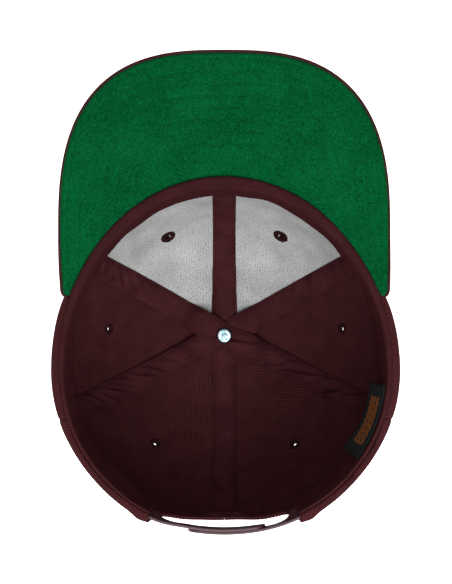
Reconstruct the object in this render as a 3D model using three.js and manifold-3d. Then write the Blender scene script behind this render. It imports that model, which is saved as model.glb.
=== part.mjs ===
// A six-panel snapback cap that lies upside down on its crown, in millimetres. +Z is up, the visor
// points to +Y, and the origin is on the floor under the middle of the button.
// Left and right are the wearer's, so with the cap upside down the left side is towards +X.
// A bearing is an angle in degrees round the button, 0 at the front and positive towards +X. A place
// on the crown is a bearing, a distance from the button measured along the cloth, and a depth
// measured inwards from the outside of the cloth.

import * as THREE from 'three';
import { mergeVertices } from 'three/addons/utils/BufferGeometryUtils.js';
import Module from 'manifold-3d';

const wasm = await Module();
wasm.setup();

// Outside of the rim in plan: two half ellipses that meet at its widest line
const RIM = {
  halfWidth: 92.5,
  front: 88.5, // from the button's axis to the seam of the visor
  back: 111,
  widestBehind: 19, // how far the widest line lies behind the button
};

// Outside of the crown between the floor and the rim
const CROWN = {
  height: 118,
  sink: 3.5, // how far the top would reach under the floor if it were not pressed flat
  pressRound: 1, // height over which the flat patch turns into the dome
  dimpleEnd: 27, // radius where the cloth leaves the dimple round the button
  squareness: { front: 3.0, side: 2.45, back: 2.5 }, // exponents of the dome's profile
  fullness: { front: -0.03, side: 0.08, back: -0.015 }, // how much wider than the rim the wall gets
};

const GAP = 0.3; // clearance between neighbouring pieces
const LAYER_GAP = 0.7; // clearance between layers of cloth, which leaves room for their flat facets
const CLOTH = 1.2; // thickness of the crown's cloth
const BUCKRAM = { thickness: 1.0, start: 12 };
const SEAMS = { frontSide: 60, backSide: 116.5 }; // bearings of the seams between the panels
const HEM = { height: 10, thickness: 1.8, clear: 1.5, fade: 6 };
const SEAM_TAPE = { width: 14, thickness: 1.0, crossing: 15, level: 27, liftFrom: -26, liftTo: -6 };

const BUTTON = { radius: 7.2, thickness: 3.5, flatRadius: 4.2, stemRadius: 1.6, stemClear: 2.4 };
const RIVET = { radius: 4.4, thickness: 1.9, edge: 0.7 };

const EYELET = { holeRadius: 1.1, barrelRadius: 2.2, flangeRadius: 4, flange: 0.8, seat: 0.9 };
const EYELET_PLACES = {
  front: { bearing: 29.5, share: 0.44 }, // share of the way from the button to the rim
  side: { bearing: 86.5, share: 0.42 },
  back: { bearing: 147.5, share: 0.43 },
};

const SWEATBAND = {
  height: 30,
  thickness: 1.2,
  roll: 1.4, // height of the band's folded edge above the rim
  inset: { front: 0.6, side: 1.2, back: 5 }, // from the outside of the rim to the folded edge
  spare: { front: 2.1, side: 0.3, back: 1.8 }, // how much further in than the hem it turns down
  lean: { front: 2.6, side: 2.4, back: 6.5 }, // how far its lower edge leans in
  endClear: 1, // from the edge of the opening at the back
};
const LABEL = {
  length: 46,
  bearing: 119,
  topMargin: 1,
  bottomMargin: 2,
  thickness: 0.8,
  standOff: 1.5, // how far its lower edge stands off the band
};

const VISOR = {
  length: 70, // from the middle of the seam to the tip
  thickness: 3.4,
  squareness: 2.78,
  seamBearing: 75.4, // bearing of each end of the seam
  endCut: 2.5, // width of the blunt end beside the seam
  endWidth: 4.4, // how far each side lies beyond the end of the seam
  endRound: 7,
  endNarrowing: 1.2, // how much narrower each side is at the end than at the widest line
  widestAhead: 33.7, // how far the widest line lies ahead of the ends of the seam
  belowRim: 0.6,
  tilt: 6, // degrees by which it leans away from the top of the crown
};
const UNDERSIDE = { thickness: 1.0, edge: 2.4, endClear: 4 }; // edge is the cover turned round the board

const ARCH = { halfWidth: 42, height: 52 }; // half-moon opening at the back
const BINDING = { width: 9, thickness: 1.0, strapClear: 1.5 };
const STRAP = {
  width: 20,
  thickness: 1.4,
  rimClear: 1.5,
  tuck: 10, // length sewn in beside the opening
  slack: 0.8, // how far further inside the rim's line both straps run at the middle of the opening
  corner: 6,
  innerEnd: 23.5, // free ends, past the middle of the opening
  outerEnd: 20.5,
};
const SNAP = { pitch: 8.5, endMargin: 5, pegs: 5, spareHoles: 2, holeRadius: 2.3, pegRadius: 1.9, peg: 1.4 };

// How finely the curved surfaces are cut into flat facets
const FACETS = {
  nearTop: [7.5, 11, 14.5, 18.5, 22.5, 27], // distances from the button
  middleRows: 9,
  panelColumns: 8,
  tapeColumns: 3,
  bandStep: 6, // degrees
  visorColumns: 16, // on each side of the middle
  visorRows: 3,
  rowSpace: 1, // least distance between two rows of corners
  archColumns: 20,
  strapStep: 5,
  round: 10,
};

const FINISHES = {
  cloth: { color: 0x4a2026, roughness: 0.95, metalness: 0 },
  tape: { color: 0x4c242a, roughness: 0.9, metalness: 0 },
  buckram: { color: 0xb2b2b2, roughness: 0.95, metalness: 0 },
  underside: { color: 0x0b6a38, roughness: 0.95, metalness: 0 },
  thread: { color: 0x3c181d, roughness: 0.85, metalness: 0 },
  plastic: { color: 0x5c3d44, roughness: 0.45, metalness: 0 },
  metal: { color: 0xd5dde0, roughness: 0.25, metalness: 0.9 },
  label: { color: 0x1f2221, roughness: 0.85, metalness: 0 },
};

const { degToRad, radToDeg, lerp, clamp, smoothstep } = THREE.MathUtils;

// A value that is front, side and back at bearings 0, 90 and 180 and changes smoothly between them
function byBearing({ front, side, back }, bearing) {
  const ends = (front + back) / 2;
  return (ends + side) / 2
    + ((front - back) / 2) * Math.cos(degToRad(bearing))
    + ((ends - side) / 2) * Math.cos(degToRad(2 * bearing));
}

// Distance from the button's axis to the outside of the rim
function rimRadius(bearing) {
  const across = Math.sin(degToRad(bearing)) / RIM.halfWidth;
  const ahead = Math.cos(degToRad(bearing));
  const toEllipse = (length) => {
    const offset = RIM.widestBehind / length;
    const a = across ** 2 + (ahead / length) ** 2;
    const b = (ahead / length) * offset;
    return (-b + Math.sqrt(b * b - a * (offset ** 2 - 1))) / a;
  };
  const radius = toEllipse(RIM.front + RIM.widestBehind);
  return radius * ahead > -RIM.widestBehind ? radius : toEllipse(RIM.back - RIM.widestBehind);
}

// Height of the dome above the floor that presses its top flat
function pressed(height) {
  const round = CROWN.pressRound;
  if (height <= 0) return 0;
  return height < 2 * round ? height ** 2 / (4 * round) : height - round;
}

// The outside of the crown from the button to the rim at one bearing
class Meridian extends THREE.Curve {
  constructor(bearing) {
    super();
    this.turn = degToRad(bearing);
    this.rim = rimRadius(bearing);
    this.power = byBearing(CROWN.squareness, bearing);
    this.fullness = byBearing(CROWN.fullness, bearing);
    this.full = CROWN.height + CROWN.pressRound + CROWN.sink;
  }

  swollen(rise) {
    return this.rim * (1 + 4 * this.fullness * rise * (1 - rise));
  }

  // Radius of the wall at a height below the rim
  radiusAt(height) {
    const rise = clamp((CROWN.height - height) / this.full, 0, 1);
    return this.swollen(rise) * (1 - rise ** this.power) ** (1 / this.power);
  }

  getPoint(t, target = new THREE.Vector3()) {
    const across = Math.sin((t * Math.PI) / 2);
    const down = Math.cos((t * Math.PI) / 2);
    const size = (across ** this.power + down ** this.power) ** (-1 / this.power);
    const rise = size * down;
    const radius = this.swollen(rise) * size * across;
    const dimple = 1 - smoothstep(radius, BUTTON.radius + GAP, CROWN.dimpleEnd);
    const height = pressed(this.full * (1 - rise) - CROWN.sink) + (BUTTON.thickness + GAP) * dimple;
    return target.set(radius * Math.sin(this.turn), radius * Math.cos(this.turn), height);
  }
}

const meridians = new Map();
function meridian(bearing) {
  const key = bearing.toFixed(4);
  if (!meridians.has(key)) meridians.set(key, new Meridian(bearing));
  return meridians.get(key);
}

const toRim = (bearing) => meridian(bearing).getLength();

function layerPoint(bearing, distance, depth) {
  const share = clamp(distance / toRim(bearing), 0, 1);
  const point = meridian(bearing).getPointAt(share);
  const step = 0.004;
  const here = clamp(share, step, 1 - step);
  const along = meridian(bearing).getPointAt(here + step).sub(meridian(bearing).getPointAt(here - step));
  const round = meridian(bearing + 0.5).getPointAt(here).sub(meridian(bearing - 0.5).getPointAt(here));
  const inwards = round.cross(along);
  inwards.z *= 1 - share ** 8; // at the rim the layers lie level with each other
  return point.addScaledVector(inwards.normalize(), depth);
}

// A point beside the rim, inwards from its outside and above it
function rimPoint(bearing, inwards, above) {
  const point = layerPoint(bearing, toRim(bearing), inwards);
  point.z += above;
  return point;
}

// A place on the wall at the back, across from the middle and up from the rim
function backBearing(across) {
  return 180 - radToDeg(Math.asin(across / RIM.back));
}
function backPoint(across, up, depth) {
  const bearing = backBearing(across);
  const point = layerPoint(bearing, toRim(bearing) - Math.max(up, 0), depth);
  point.z += Math.max(-up, 0);
  return point;
}

// The point at a place on a layer and the direction inwards from it
function inwardsAt(pointAtDepth) {
  const point = pointAtDepth(0);
  return { point, axis: pointAtDepth(1).sub(point).normalize() };
}

// A closed body between two faces, each a function from station and row to a point
function skin(stations, rows, outer, inner) {
  const positions = [];
  for (const face of [outer, inner]) {
    for (let i = 0; i < stations; i += 1) {
      for (let j = 0; j < rows; j += 1) positions.push(...face(i, j).toArray());
    }
  }
  const corner = (side, i, j) => (side * stations + i) * rows + j;
  const index = [];
  const quad = (a, b, c, d) => index.push(a, b, c, a, c, d);
  const [end, last] = [stations - 1, rows - 1];
  for (let i = 1; i < stations; i += 1) {
    for (let j = 1; j < rows; j += 1) {
      quad(corner(0, i - 1, j - 1), corner(0, i, j - 1), corner(0, i, j), corner(0, i - 1, j));
      quad(corner(1, i - 1, j - 1), corner(1, i - 1, j), corner(1, i, j), corner(1, i, j - 1));
    }
    quad(corner(0, i - 1, 0), corner(1, i - 1, 0), corner(1, i, 0), corner(0, i, 0));
    quad(corner(0, i - 1, last), corner(0, i, last), corner(1, i, last), corner(1, i - 1, last));
  }
  for (let j = 1; j < rows; j += 1) {
    quad(corner(0, 0, j - 1), corner(0, 0, j), corner(1, 0, j), corner(1, 0, j - 1));
    quad(corner(0, end, j - 1), corner(1, end, j - 1), corner(1, end, j), corner(0, end, j));
  }
  const geometry = new THREE.BufferGeometry();
  geometry.setAttribute('position', new THREE.Float32BufferAttribute(positions, 3));
  geometry.setIndex(index);
  return geometry;
}

// The same closed body with its facets facing outwards
function facingOut(geometry) {
  const position = geometry.getAttribute('position');
  const index = Array.from(geometry.getIndex().array);
  const [a, b, c] = [new THREE.Vector3(), new THREE.Vector3(), new THREE.Vector3()];
  let volume = 0;
  for (let i = 0; i < index.length; i += 3) {
    [a, b, c].forEach((corner, k) => corner.fromBufferAttribute(position, index[i + k]));
    volume += a.dot(b.cross(c));
  }
  geometry.setIndex(volume < 0 ? index.reverse() : index);
  return geometry;
}

// The same body with each corner stored once and no facet of zero width
function welded(geometry) {
  geometry.deleteAttribute('normal');
  geometry.deleteAttribute('uv');
  const merged = mergeVertices(geometry, 1e-3);
  const index = merged.getIndex().array;
  const kept = [];
  for (let i = 0; i < index.length; i += 3) {
    const [a, b, c] = index.slice(i, i + 3);
    if (a !== b && b !== c && c !== a) kept.push(a, b, c);
  }
  merged.setIndex(kept);
  return facingOut(merged);
}

function solid(geometry) {
  const body = welded(geometry);
  return new wasm.Manifold(new wasm.Mesh({
    numProp: 3,
    vertProperties: new Float32Array(body.getAttribute('position').array),
    triVerts: new Uint32Array(body.getIndex().array),
  }));
}

function surfaceOf(body) {
  const mesh = body.getMesh();
  const geometry = new THREE.BufferGeometry();
  geometry.setAttribute('position', new THREE.BufferAttribute(new Float32Array(mesh.vertProperties), 3));
  geometry.setIndex(Array.from(mesh.triVerts));
  return geometry;
}

const cutBy = (geometry, cutters) => surfaceOf(
  cutters.reduce((body, cutter) => body.subtract(solid(cutter)), solid(geometry)),
);
const joinedTo = (geometry, additions) => surfaceOf(
  additions.reduce((body, addition) => body.add(solid(addition)), solid(geometry)),
);

const LATHE_AXIS = new THREE.Vector3(0, 1, 0);
const UPWARDS = new THREE.Vector3(0, 0, 1);

// A round bar round an axis, from one distance along it to another
function bar({ point, axis }, radius, from, to) {
  const geometry = new THREE.CylinderGeometry(radius, radius, to - from, FACETS.round);
  geometry.translate(0, (from + to) / 2, 0);
  geometry.applyQuaternion(new THREE.Quaternion().setFromUnitVectors(LATHE_AXIS, axis));
  return geometry.translate(point.x, point.y, point.z);
}

// A turned piece from pairs of radius and height
function turned(profile) {
  const outline = profile.map(([radius, height]) => new THREE.Vector2(radius, height));
  return new THREE.LatheGeometry(outline, FACETS.round);
}

function piece(name, finish, geometry) {
  const mesh = new THREE.Mesh(welded(geometry), new THREE.MeshStandardMaterial(FINISHES[finish]));
  mesh.name = name;
  return mesh;
}

function turnedPiece(name, finish, profile, { point, axis }) {
  const mesh = piece(name, finish, turned(profile));
  mesh.position.copy(point);
  mesh.quaternion.setFromUnitVectors(LATHE_AXIS, axis);
  return mesh;
}

// Rows of corners from the button to the rim: each is a distance plus a share of the whole length
const ROWS = FACETS.nearTop.map((distance) => ({ distance, share: 0 }));
for (let i = 1; i <= FACETS.middleRows; i += 1) {
  const share = i / FACETS.middleRows;
  ROWS.push({ distance: lerp(FACETS.nearTop.at(-1), -HEM.height, share), share });
}

const rowDistance = (row, length) => row.distance + row.share * length;

function rowsBetween(start, rimClear) {
  const length = toRim(0);
  const between = (row) => rowDistance(row, length) > start + FACETS.rowSpace
    && rowDistance(row, length) < length - rimClear - FACETS.rowSpace;
  return [{ distance: start, share: 0 }, ...ROWS.filter(between), { distance: -rimClear, share: 1 }];
}

// Half the gap at a seam, as a bearing
function seamGap(bearing, distance) {
  const point = layerPoint(bearing, distance, 0);
  return radToDeg(GAP / 2 / Math.hypot(point.x, point.y));
}

// A layer of the crown between two seams
function crownLayer({ from, to, start, rimClear, outside, inside }) {
  const rows = rowsBetween(start, rimClear);
  const inwards = Math.sign(to - from);
  const place = (i, j, depth) => {
    const share = i / FACETS.panelColumns;
    const length = toRim(lerp(from, to, share));
    const distance = rowDistance(rows[j], length);
    const low = from + inwards * seamGap(from, distance);
    const high = to - inwards * seamGap(to, distance);
    const bearing = lerp(low, high, share);
    return layerPoint(bearing, (distance / length) * toRim(bearing), depth(bearing, length - distance));
  };
  const count = FACETS.panelColumns + 1;
  return skin(count, rows.length, (i, j) => place(i, j, outside), (i, j) => place(i, j, inside));
}

// The turned-up hem thickens the cloth towards the rim, except where a strap is sewn in
const pocketBearing = backBearing(ARCH.halfWidth + STRAP.tuck + GAP);
function hemDepth(bearing, fromRim) {
  const share = clamp(1 - fromRim / HEM.height, 0, 1);
  const fade = 1 - smoothstep(Math.abs(bearing), pocketBearing - HEM.fade, pocketBearing);
  return CLOTH + HEM.thickness * share * fade;
}

const BACKED_WALL = CLOTH + LAYER_GAP + BUCKRAM.thickness; // depth of the buckram's inside
const EYELET_WALLS = { front: BACKED_WALL, side: CLOTH, back: CLOTH };

function eyeletSeat(panel, side) {
  const bearing = side * EYELET_PLACES[panel].bearing;
  return inwardsAt((depth) => layerPoint(bearing, EYELET_PLACES[panel].share * toRim(bearing), depth));
}

function eyeletHole(panel, side) {
  const wall = EYELET_WALLS[panel];
  return bar(eyeletSeat(panel, side), EYELET.barrelRadius + GAP, -wall, 2 * wall);
}

function eyelet(name, panel, side) {
  const { holeRadius, barrelRadius, flangeRadius, flange, seat } = EYELET;
  const [outside, inside] = [-seat, EYELET_WALLS[panel] + seat];
  const profile = [
    [holeRadius, outside - flange],
    [flangeRadius, outside - flange / 2],
    [flangeRadius, outside],
    [barrelRadius, outside],
    [barrelRadius, inside],
    [flangeRadius, inside],
    [flangeRadius, inside + flange / 2],
    [holeRadius, inside + flange],
    [holeRadius, outside - flange],
  ];
  return turnedPiece(name, 'thread', profile, eyeletSeat(panel, side));
}

// The edge of the half-moon opening at an angle round it, and strips beside that edge
function archPoint(angle, outwards, depth) {
  const edge = new THREE.Vector2(ARCH.halfWidth * Math.cos(angle), ARCH.height * Math.sin(angle));
  const normal = new THREE.Vector2(Math.cos(angle) / ARCH.halfWidth, Math.sin(angle) / ARCH.height);
  edge.addScaledVector(normal.normalize(), outwards);
  return backPoint(edge.x, edge.y, depth);
}

function archCutter() {
  const rows = 4;
  const reach = CLOTH + HEM.thickness;
  const place = (i, j, depth) => {
    const angle = (Math.PI * i) / FACETS.archColumns;
    const up = lerp(-reach, ARCH.height * Math.sin(angle), j / (rows - 1));
    return backPoint(ARCH.halfWidth * Math.cos(angle), up, depth);
  };
  return skin(FACETS.archColumns + 1, rows, (i, j) => place(i, j, -reach), (i, j) => place(i, j, 2 * reach));
}

// The binding follows the edge of the opening inside the cloth and ends above the straps
function archBinding() {
  const bottom = STRAP.rimClear + STRAP.width + BINDING.strapClear;
  const start = Math.asin(bottom / ARCH.height);
  const place = (i, j, depth) => {
    const angle = lerp(start, Math.PI - start, i / FACETS.archColumns);
    return archPoint(angle, lerp(0, BINDING.width, j / 2), depth);
  };
  const [outside, inside] = [CLOTH + LAYER_GAP, CLOTH + LAYER_GAP + BINDING.thickness];
  return skin(FACETS.archColumns + 1, 3, (i, j) => place(i, j, outside), (i, j) => place(i, j, inside));
}

const PANELS = {
  front: [0, SEAMS.frontSide],
  side: [SEAMS.frontSide, SEAMS.backSide],
  back: [SEAMS.backSide, 180],
};

function crownPanel(panel, side) {
  const [from, to] = PANELS[panel];
  const layer = crownLayer({
    from: side * from,
    to: side * to,
    start: BUTTON.stemRadius + BUTTON.stemClear,
    rimClear: 0,
    outside: () => 0,
    inside: hemDepth,
  });
  const holes = [eyeletHole(panel, side)];
  if (panel === 'back') holes.push(archCutter());
  return cutBy(layer, holes);
}

function buckramBacking(side) {
  const layer = crownLayer({
    from: 0,
    to: side * SEAMS.frontSide,
    start: BUCKRAM.start,
    rimClear: HEM.height + HEM.clear,
    outside: () => CLOTH + LAYER_GAP,
    inside: () => BACKED_WALL,
  });
  return cutBy(layer, [eyeletHole('front', side)]);
}

// Depth of a seam tape's outside. It lies on the buckram in front and steps over the tapes below it.
function tapeDepth({ x, y }, level) {
  const lift = smoothstep(y, SEAM_TAPE.liftFrom, SEAM_TAPE.liftTo);
  const stack = 1 - smoothstep(Math.hypot(x, y), SEAM_TAPE.crossing, SEAM_TAPE.level);
  const step = (thickness) => thickness + LAYER_GAP;
  return step(CLOTH) + step(BUCKRAM.thickness) * lift + level * step(SEAM_TAPE.thickness) * stack;
}

// A long tape over two seams that meet at the button
function seamTape({ ends, rimClears, level }) {
  const headings = ends.map((bearing) => new THREE.Vector2(
    Math.sin(degToRad(bearing)),
    Math.cos(degToRad(bearing)),
  ));
  const reaches = ends.map((bearing, k) => rowsBetween(FACETS.nearTop[0], rimClears[k])
    .map((row) => rowDistance(row, toRim(bearing))));
  const alongs = [...reaches[0].map((distance) => -distance).reverse(), 0, ...reaches[1]];
  const place = (i, j, depth) => {
    const along = alongs[i];
    const half = along < 0 ? 0 : 1;
    const distance = Math.abs(along);
    const middle = layerPoint(ends[half], distance, 0);
    const stretch = distance > 1 ? distance / Math.hypot(middle.x, middle.y) : 1;
    const blend = smoothstep(along, -SEAM_TAPE.crossing, SEAM_TAPE.crossing);
    const heading = headings[0].clone().negate().lerp(headings[1], blend).normalize();
    const across = lerp(-SEAM_TAPE.width / 2, SEAM_TAPE.width / 2, j / FACETS.tapeColumns) * stretch;
    const spread = headings[half].clone().multiplyScalar(distance)
      .add(new THREE.Vector2(heading.y, -heading.x).multiplyScalar(across));
    const bearing = radToDeg(Math.atan2(spread.x, spread.y));
    const outside = layerPoint(bearing, spread.length(), 0);
    return layerPoint(bearing, spread.length(), tapeDepth(outside, level) + depth);
  };
  const body = skin(
    alongs.length,
    FACETS.tapeColumns + 1,
    (i, j) => place(i, j, 0),
    (i, j) => place(i, j, SEAM_TAPE.thickness),
  );
  const axle = { point: new THREE.Vector3(), axis: UPWARDS };
  return cutBy(body, [bar(axle, BUTTON.stemRadius + GAP, 0, CROWN.height / 2)]);
}

const tapeClear = HEM.height + HEM.clear;
const TAPES = {
  seam_tape_front_back: {
    ends: [180, 0],
    rimClears: [ARCH.height + BINDING.width + GAP, tapeClear],
    level: 0,
  },
  seam_tape_left_front: {
    ends: [-SEAMS.backSide, SEAMS.frontSide],
    rimClears: [tapeClear, tapeClear],
    level: 1,
  },
  seam_tape_right_front: {
    ends: [SEAMS.backSide, -SEAMS.frontSide],
    rimClears: [tapeClear, tapeClear],
    level: 2,
  },
};

// The sweatband folds over the rim and hangs inside it, from one side of the opening to the other
const bandEnd = backBearing(ARCH.halfWidth + SWEATBAND.endClear);
function bandFold(bearing) {
  return CLOTH + HEM.thickness + GAP + byBearing(SWEATBAND.spare, bearing) + SWEATBAND.thickness;
}
function bandFace(bearing, below, inwards) {
  const lean = byBearing(SWEATBAND.lean, bearing) * (below / SWEATBAND.height);
  return rimPoint(bearing, bandFold(bearing) + lean + inwards, -below);
}

function sweatband() {
  const { height, thickness, roll } = SWEATBAND;
  const count = Math.ceil((2 * bandEnd) / FACETS.bandStep);
  const bearingAt = (i) => lerp(-bandEnd, bandEnd, i / count);
  const inset = (bearing) => byBearing(SWEATBAND.inset, bearing);
  const outer = (i, j) => {
    const bearing = bearingAt(i);
    if (j === 0) return rimPoint(bearing, inset(bearing), GAP);
    if (j === 1) return rimPoint(bearing, bandFold(bearing) - thickness, GAP);
    return bandFace(bearing, ((j - 1) / 2) * height, -thickness);
  };
  const inner = (i, j) => {
    const bearing = bearingAt(i);
    if (j === 0) return rimPoint(bearing, inset(bearing), GAP + roll / 2);
    if (j === 1) return rimPoint(bearing, bandFold(bearing) - thickness / 2, GAP + roll);
    return bandFace(bearing, ((j - 1) / 2) * height, 0);
  };
  return skin(count + 1, 4, outer, inner);
}

function label() {
  const span = radToDeg(LABEL.length / 2 / rimRadius(LABEL.bearing));
  const columns = Math.ceil((2 * span) / FACETS.bandStep);
  const place = (i, j, inwards) => {
    const bearing = LABEL.bearing + lerp(-span, span, i / columns);
    const below = lerp(LABEL.topMargin, SWEATBAND.height - LABEL.bottomMargin, j);
    return bandFace(bearing, below, GAP + LABEL.standOff * j + inwards);
  };
  return skin(columns + 1, 2, (i, j) => place(i, j, 0), (i, j) => place(i, j, LABEL.thickness));
}

// Points on the visor's outline, from beside the end of its seam at +X to its tip
function visorEdge() {
  const seamEnd = layerPoint(VISOR.seamBearing, toRim(VISOR.seamBearing), -GAP);
  const side = seamEnd.x + VISOR.endWidth;
  const widest = new THREE.Vector2(side + VISOR.endNarrowing, seamEnd.y + VISOR.widestAhead);
  const reach = RIM.front + VISOR.length - widest.y;
  const path = new THREE.Path();
  path.moveTo(seamEnd.x, seamEnd.y);
  path.quadraticCurveTo(side, seamEnd.y, side, seamEnd.y + VISOR.endRound);
  path.quadraticCurveTo(widest.x, lerp(seamEnd.y + VISOR.endRound, widest.y, 0.5), widest.x, widest.y);
  const bow = [];
  for (let i = 1; i <= FACETS.visorColumns; i += 1) {
    const angle = (Math.PI / 2) * (i / FACETS.visorColumns);
    const [across, ahead] = [Math.cos(angle), Math.sin(angle)];
    const size = (across ** VISOR.squareness + ahead ** VISOR.squareness) ** (-1 / VISOR.squareness);
    bow.push(new THREE.Vector2(widest.x * size * across, widest.y + reach * size * ahead));
  }
  path.splineThru(bow);
  const length = path.getLength();
  const start = VISOR.endCut + UNDERSIDE.endClear;
  const points = [path.getPointAt(VISOR.endCut / length)];
  for (let k = 0; k < FACETS.visorColumns; k += 1) {
    points.push(path.getPointAt(lerp(start / length, 1, k / (FACETS.visorColumns - 1))));
  }
  return points;
}

// Height of the visor's underside, bent so that the ends of the seam lie level with its middle
function visorHeight({ x, y }) {
  const end = rimPoint(VISOR.seamBearing, 0, 0);
  const lean = Math.tan(degToRad(VISOR.tilt));
  const bend = (lean * (RIM.front - end.y)) / end.x ** 2;
  return CROWN.height - VISOR.belowRim + lean * (y - RIM.front) + bend * x ** 2;
}

// A sheet of the visor from its underside downwards. Each row has a share of the way from the seam
// to the edge, an inset from the edge, and the depths of the sheet's two faces.
function visorSheet(rows, skipped) {
  const edge = visorEdge();
  const middle = edge.length - 1;
  const place = (i, { share, inset }, depth) => {
    const side = Math.sign(middle - i) || 1;
    const k = middle - Math.abs(middle - i);
    const bearing = side * lerp(VISOR.seamBearing, 0, k / middle);
    const rim = rimPoint(bearing, 0, 0);
    const seamRadius = meridian(bearing).radiusAt(visorHeight(rim) - depth) + GAP;
    const seam = rim.clone().setZ(0).setLength(seamRadius);
    const outline = new THREE.Vector3(side * edge[k].x, edge[k].y, 0);
    const point = seam.lerp(outline, share * (1 - inset / outline.distanceTo(seam)));
    return point.setZ(visorHeight(point) - depth);
  };
  return skin(
    2 * (middle - skipped) + 1,
    rows.length,
    (i, j) => place(i + skipped, rows[j], rows[j].lower),
    (i, j) => place(i + skipped, rows[j], rows[j].upper),
  );
}

const visorShares = Array.from({ length: FACETS.visorRows + 1 }, (_, k) => k / FACETS.visorRows);

function visorCover() {
  const under = UNDERSIDE.thickness + GAP;
  const flat = visorShares.map((share) => (
    { share, inset: UNDERSIDE.edge, lower: VISOR.thickness, upper: under }
  ));
  const turn = { share: 1, inset: UNDERSIDE.edge / 2, lower: VISOR.thickness, upper: 0 };
  const rim = { share: 1, inset: 0, lower: VISOR.thickness * 0.7, upper: VISOR.thickness * 0.3 };
  return visorSheet([...flat, turn, rim], 0);
}

function visorUnderside() {
  const inset = UNDERSIDE.edge + GAP;
  const rows = visorShares.map((share) => ({ share, inset, lower: UNDERSIDE.thickness, upper: 0 }));
  return visorSheet(rows, 1);
}

// Both straps bow inwards between the sides of the opening, and the inner one passes the outer one
function outerStrapDepth(across) {
  const share = Math.min(1, Math.abs(across) / ARCH.halfWidth);
  return CLOTH + LAYER_GAP + STRAP.slack * (1 - share ** 2) ** 2;
}
function innerStrapDepth(across) {
  const passing = smoothstep(across, -ARCH.halfWidth, -STRAP.outerEnd);
  return outerStrapDepth(across) + (STRAP.thickness + GAP) * passing;
}

// A strap from its sewn end to its rounded free end, as distances across from the middle
function strap(from, to, depthAt) {
  const heading = Math.sign(to - from);
  const straight = Math.abs(to - from) - STRAP.corner;
  const count = Math.ceil(straight / FACETS.strapStep);
  const stations = [];
  for (let k = 0; k <= count; k += 1) stations.push({ along: (straight * k) / count, trim: 0 });
  for (let angle = 30; angle <= 90; angle += 30) {
    const turn = degToRad(angle);
    stations.push({
      along: straight + STRAP.corner * Math.sin(turn),
      trim: STRAP.corner * (1 - Math.cos(turn)),
    });
  }
  const place = (i, j, depth) => {
    const { along, trim } = stations[i];
    const across = from + heading * along;
    const up = STRAP.rimClear + lerp(trim, STRAP.width - trim, j);
    return backPoint(across, up, depthAt(across) + depth);
  };
  return skin(stations.length, 2, (i, j) => place(i, j, 0), (i, j) => place(i, j, STRAP.thickness));
}

const snapAcross = (k) => STRAP.innerEnd - SNAP.endMargin - k * SNAP.pitch;
function snapSeat(k, depthAt) {
  const across = snapAcross(k);
  const middle = STRAP.rimClear + STRAP.width / 2;
  return inwardsAt((depth) => backPoint(across, middle, depthAt(across) + depth));
}

function strapWithPegs() {
  const body = strap(-ARCH.halfWidth - STRAP.tuck, STRAP.innerEnd, innerStrapDepth);
  const pegs = [];
  for (let k = 0; k < SNAP.pegs; k += 1) {
    pegs.push(bar(snapSeat(k, innerStrapDepth), SNAP.pegRadius, -SNAP.peg, STRAP.thickness / 2));
  }
  return joinedTo(body, pegs);
}

function strapWithHoles() {
  const body = strap(ARCH.halfWidth + STRAP.tuck, -STRAP.outerEnd, outerStrapDepth);
  const holes = [];
  for (let k = -SNAP.spareHoles; k < SNAP.pegs; k += 1) {
    const seat = snapSeat(k, outerStrapDepth);
    holes.push(bar(seat, SNAP.holeRadius, -STRAP.thickness, 2 * STRAP.thickness));
  }
  return cutBy(body, holes);
}

const crown = new THREE.Group();
const SIDES = { left: 1, right: -1 };
for (const [name, side] of Object.entries(SIDES)) {
  for (const panel of Object.keys(PANELS)) {
    crown.add(piece(`${panel}_panel_${name}`, 'cloth', crownPanel(panel, side)));
    crown.add(eyelet(`eyelet_${panel}_${name}`, panel, side));
  }
  crown.add(piece(`buckram_${name}`, 'buckram', buckramBacking(side)));
}
for (const [name, tape] of Object.entries(TAPES)) crown.add(piece(name, 'tape', seamTape(tape)));
crown.add(piece('arch_binding', 'tape', archBinding()));

const tapeStack = BUTTON.thickness + GAP + tapeDepth({ x: 0, y: 0 }, 2) + SEAM_TAPE.thickness;
const button = turnedPiece('button', 'cloth', [
  [0, 0],
  [BUTTON.flatRadius, 0],
  [BUTTON.radius, BUTTON.thickness / 2],
  [BUTTON.radius, BUTTON.thickness],
  [BUTTON.stemRadius, BUTTON.thickness],
  [BUTTON.stemRadius, tapeStack],
  [0, tapeStack],
], { point: new THREE.Vector3(), axis: UPWARDS });
const rivet = turnedPiece('rivet', 'metal', [
  [0, 0],
  [RIVET.radius, 0],
  [RIVET.radius, RIVET.thickness - RIVET.edge],
  [RIVET.radius - RIVET.edge, RIVET.thickness],
  [0, RIVET.thickness],
], { point: new THREE.Vector3(0, 0, tapeStack + GAP), axis: UPWARDS });
crown.add(button, rivet);

const band = new THREE.Group();
band.add(piece('sweatband', 'cloth', sweatband()), piece('label', 'label', label()));

const visor = new THREE.Group();
visor.add(piece('visor_cover', 'cloth', visorCover()));
visor.add(piece('visor_underside', 'underside', visorUnderside()));

const closure = new THREE.Group();
closure.add(piece('strap_pegs', 'plastic', strapWithPegs()));
closure.add(piece('strap_holes', 'plastic', strapWithHoles()));

const cap = new THREE.Group();
cap.add(crown, band, visor, closure);
export default cap;
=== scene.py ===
# %% [markdown]
# # A snapback cap, seen straight into its hollow
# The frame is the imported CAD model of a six-panel cap that lies upside down on its crown. This
# file dresses it: each CAD solid is replaced by a finer piece of cloth, tape, plastic or metal
# that lies in the same place. Everything is worked out in millimetres and stored in metres.

# %% Load the frame
import math
import random

import bmesh
import bpy
import numpy as np
from mathutils import Matrix, Vector, noise


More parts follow.
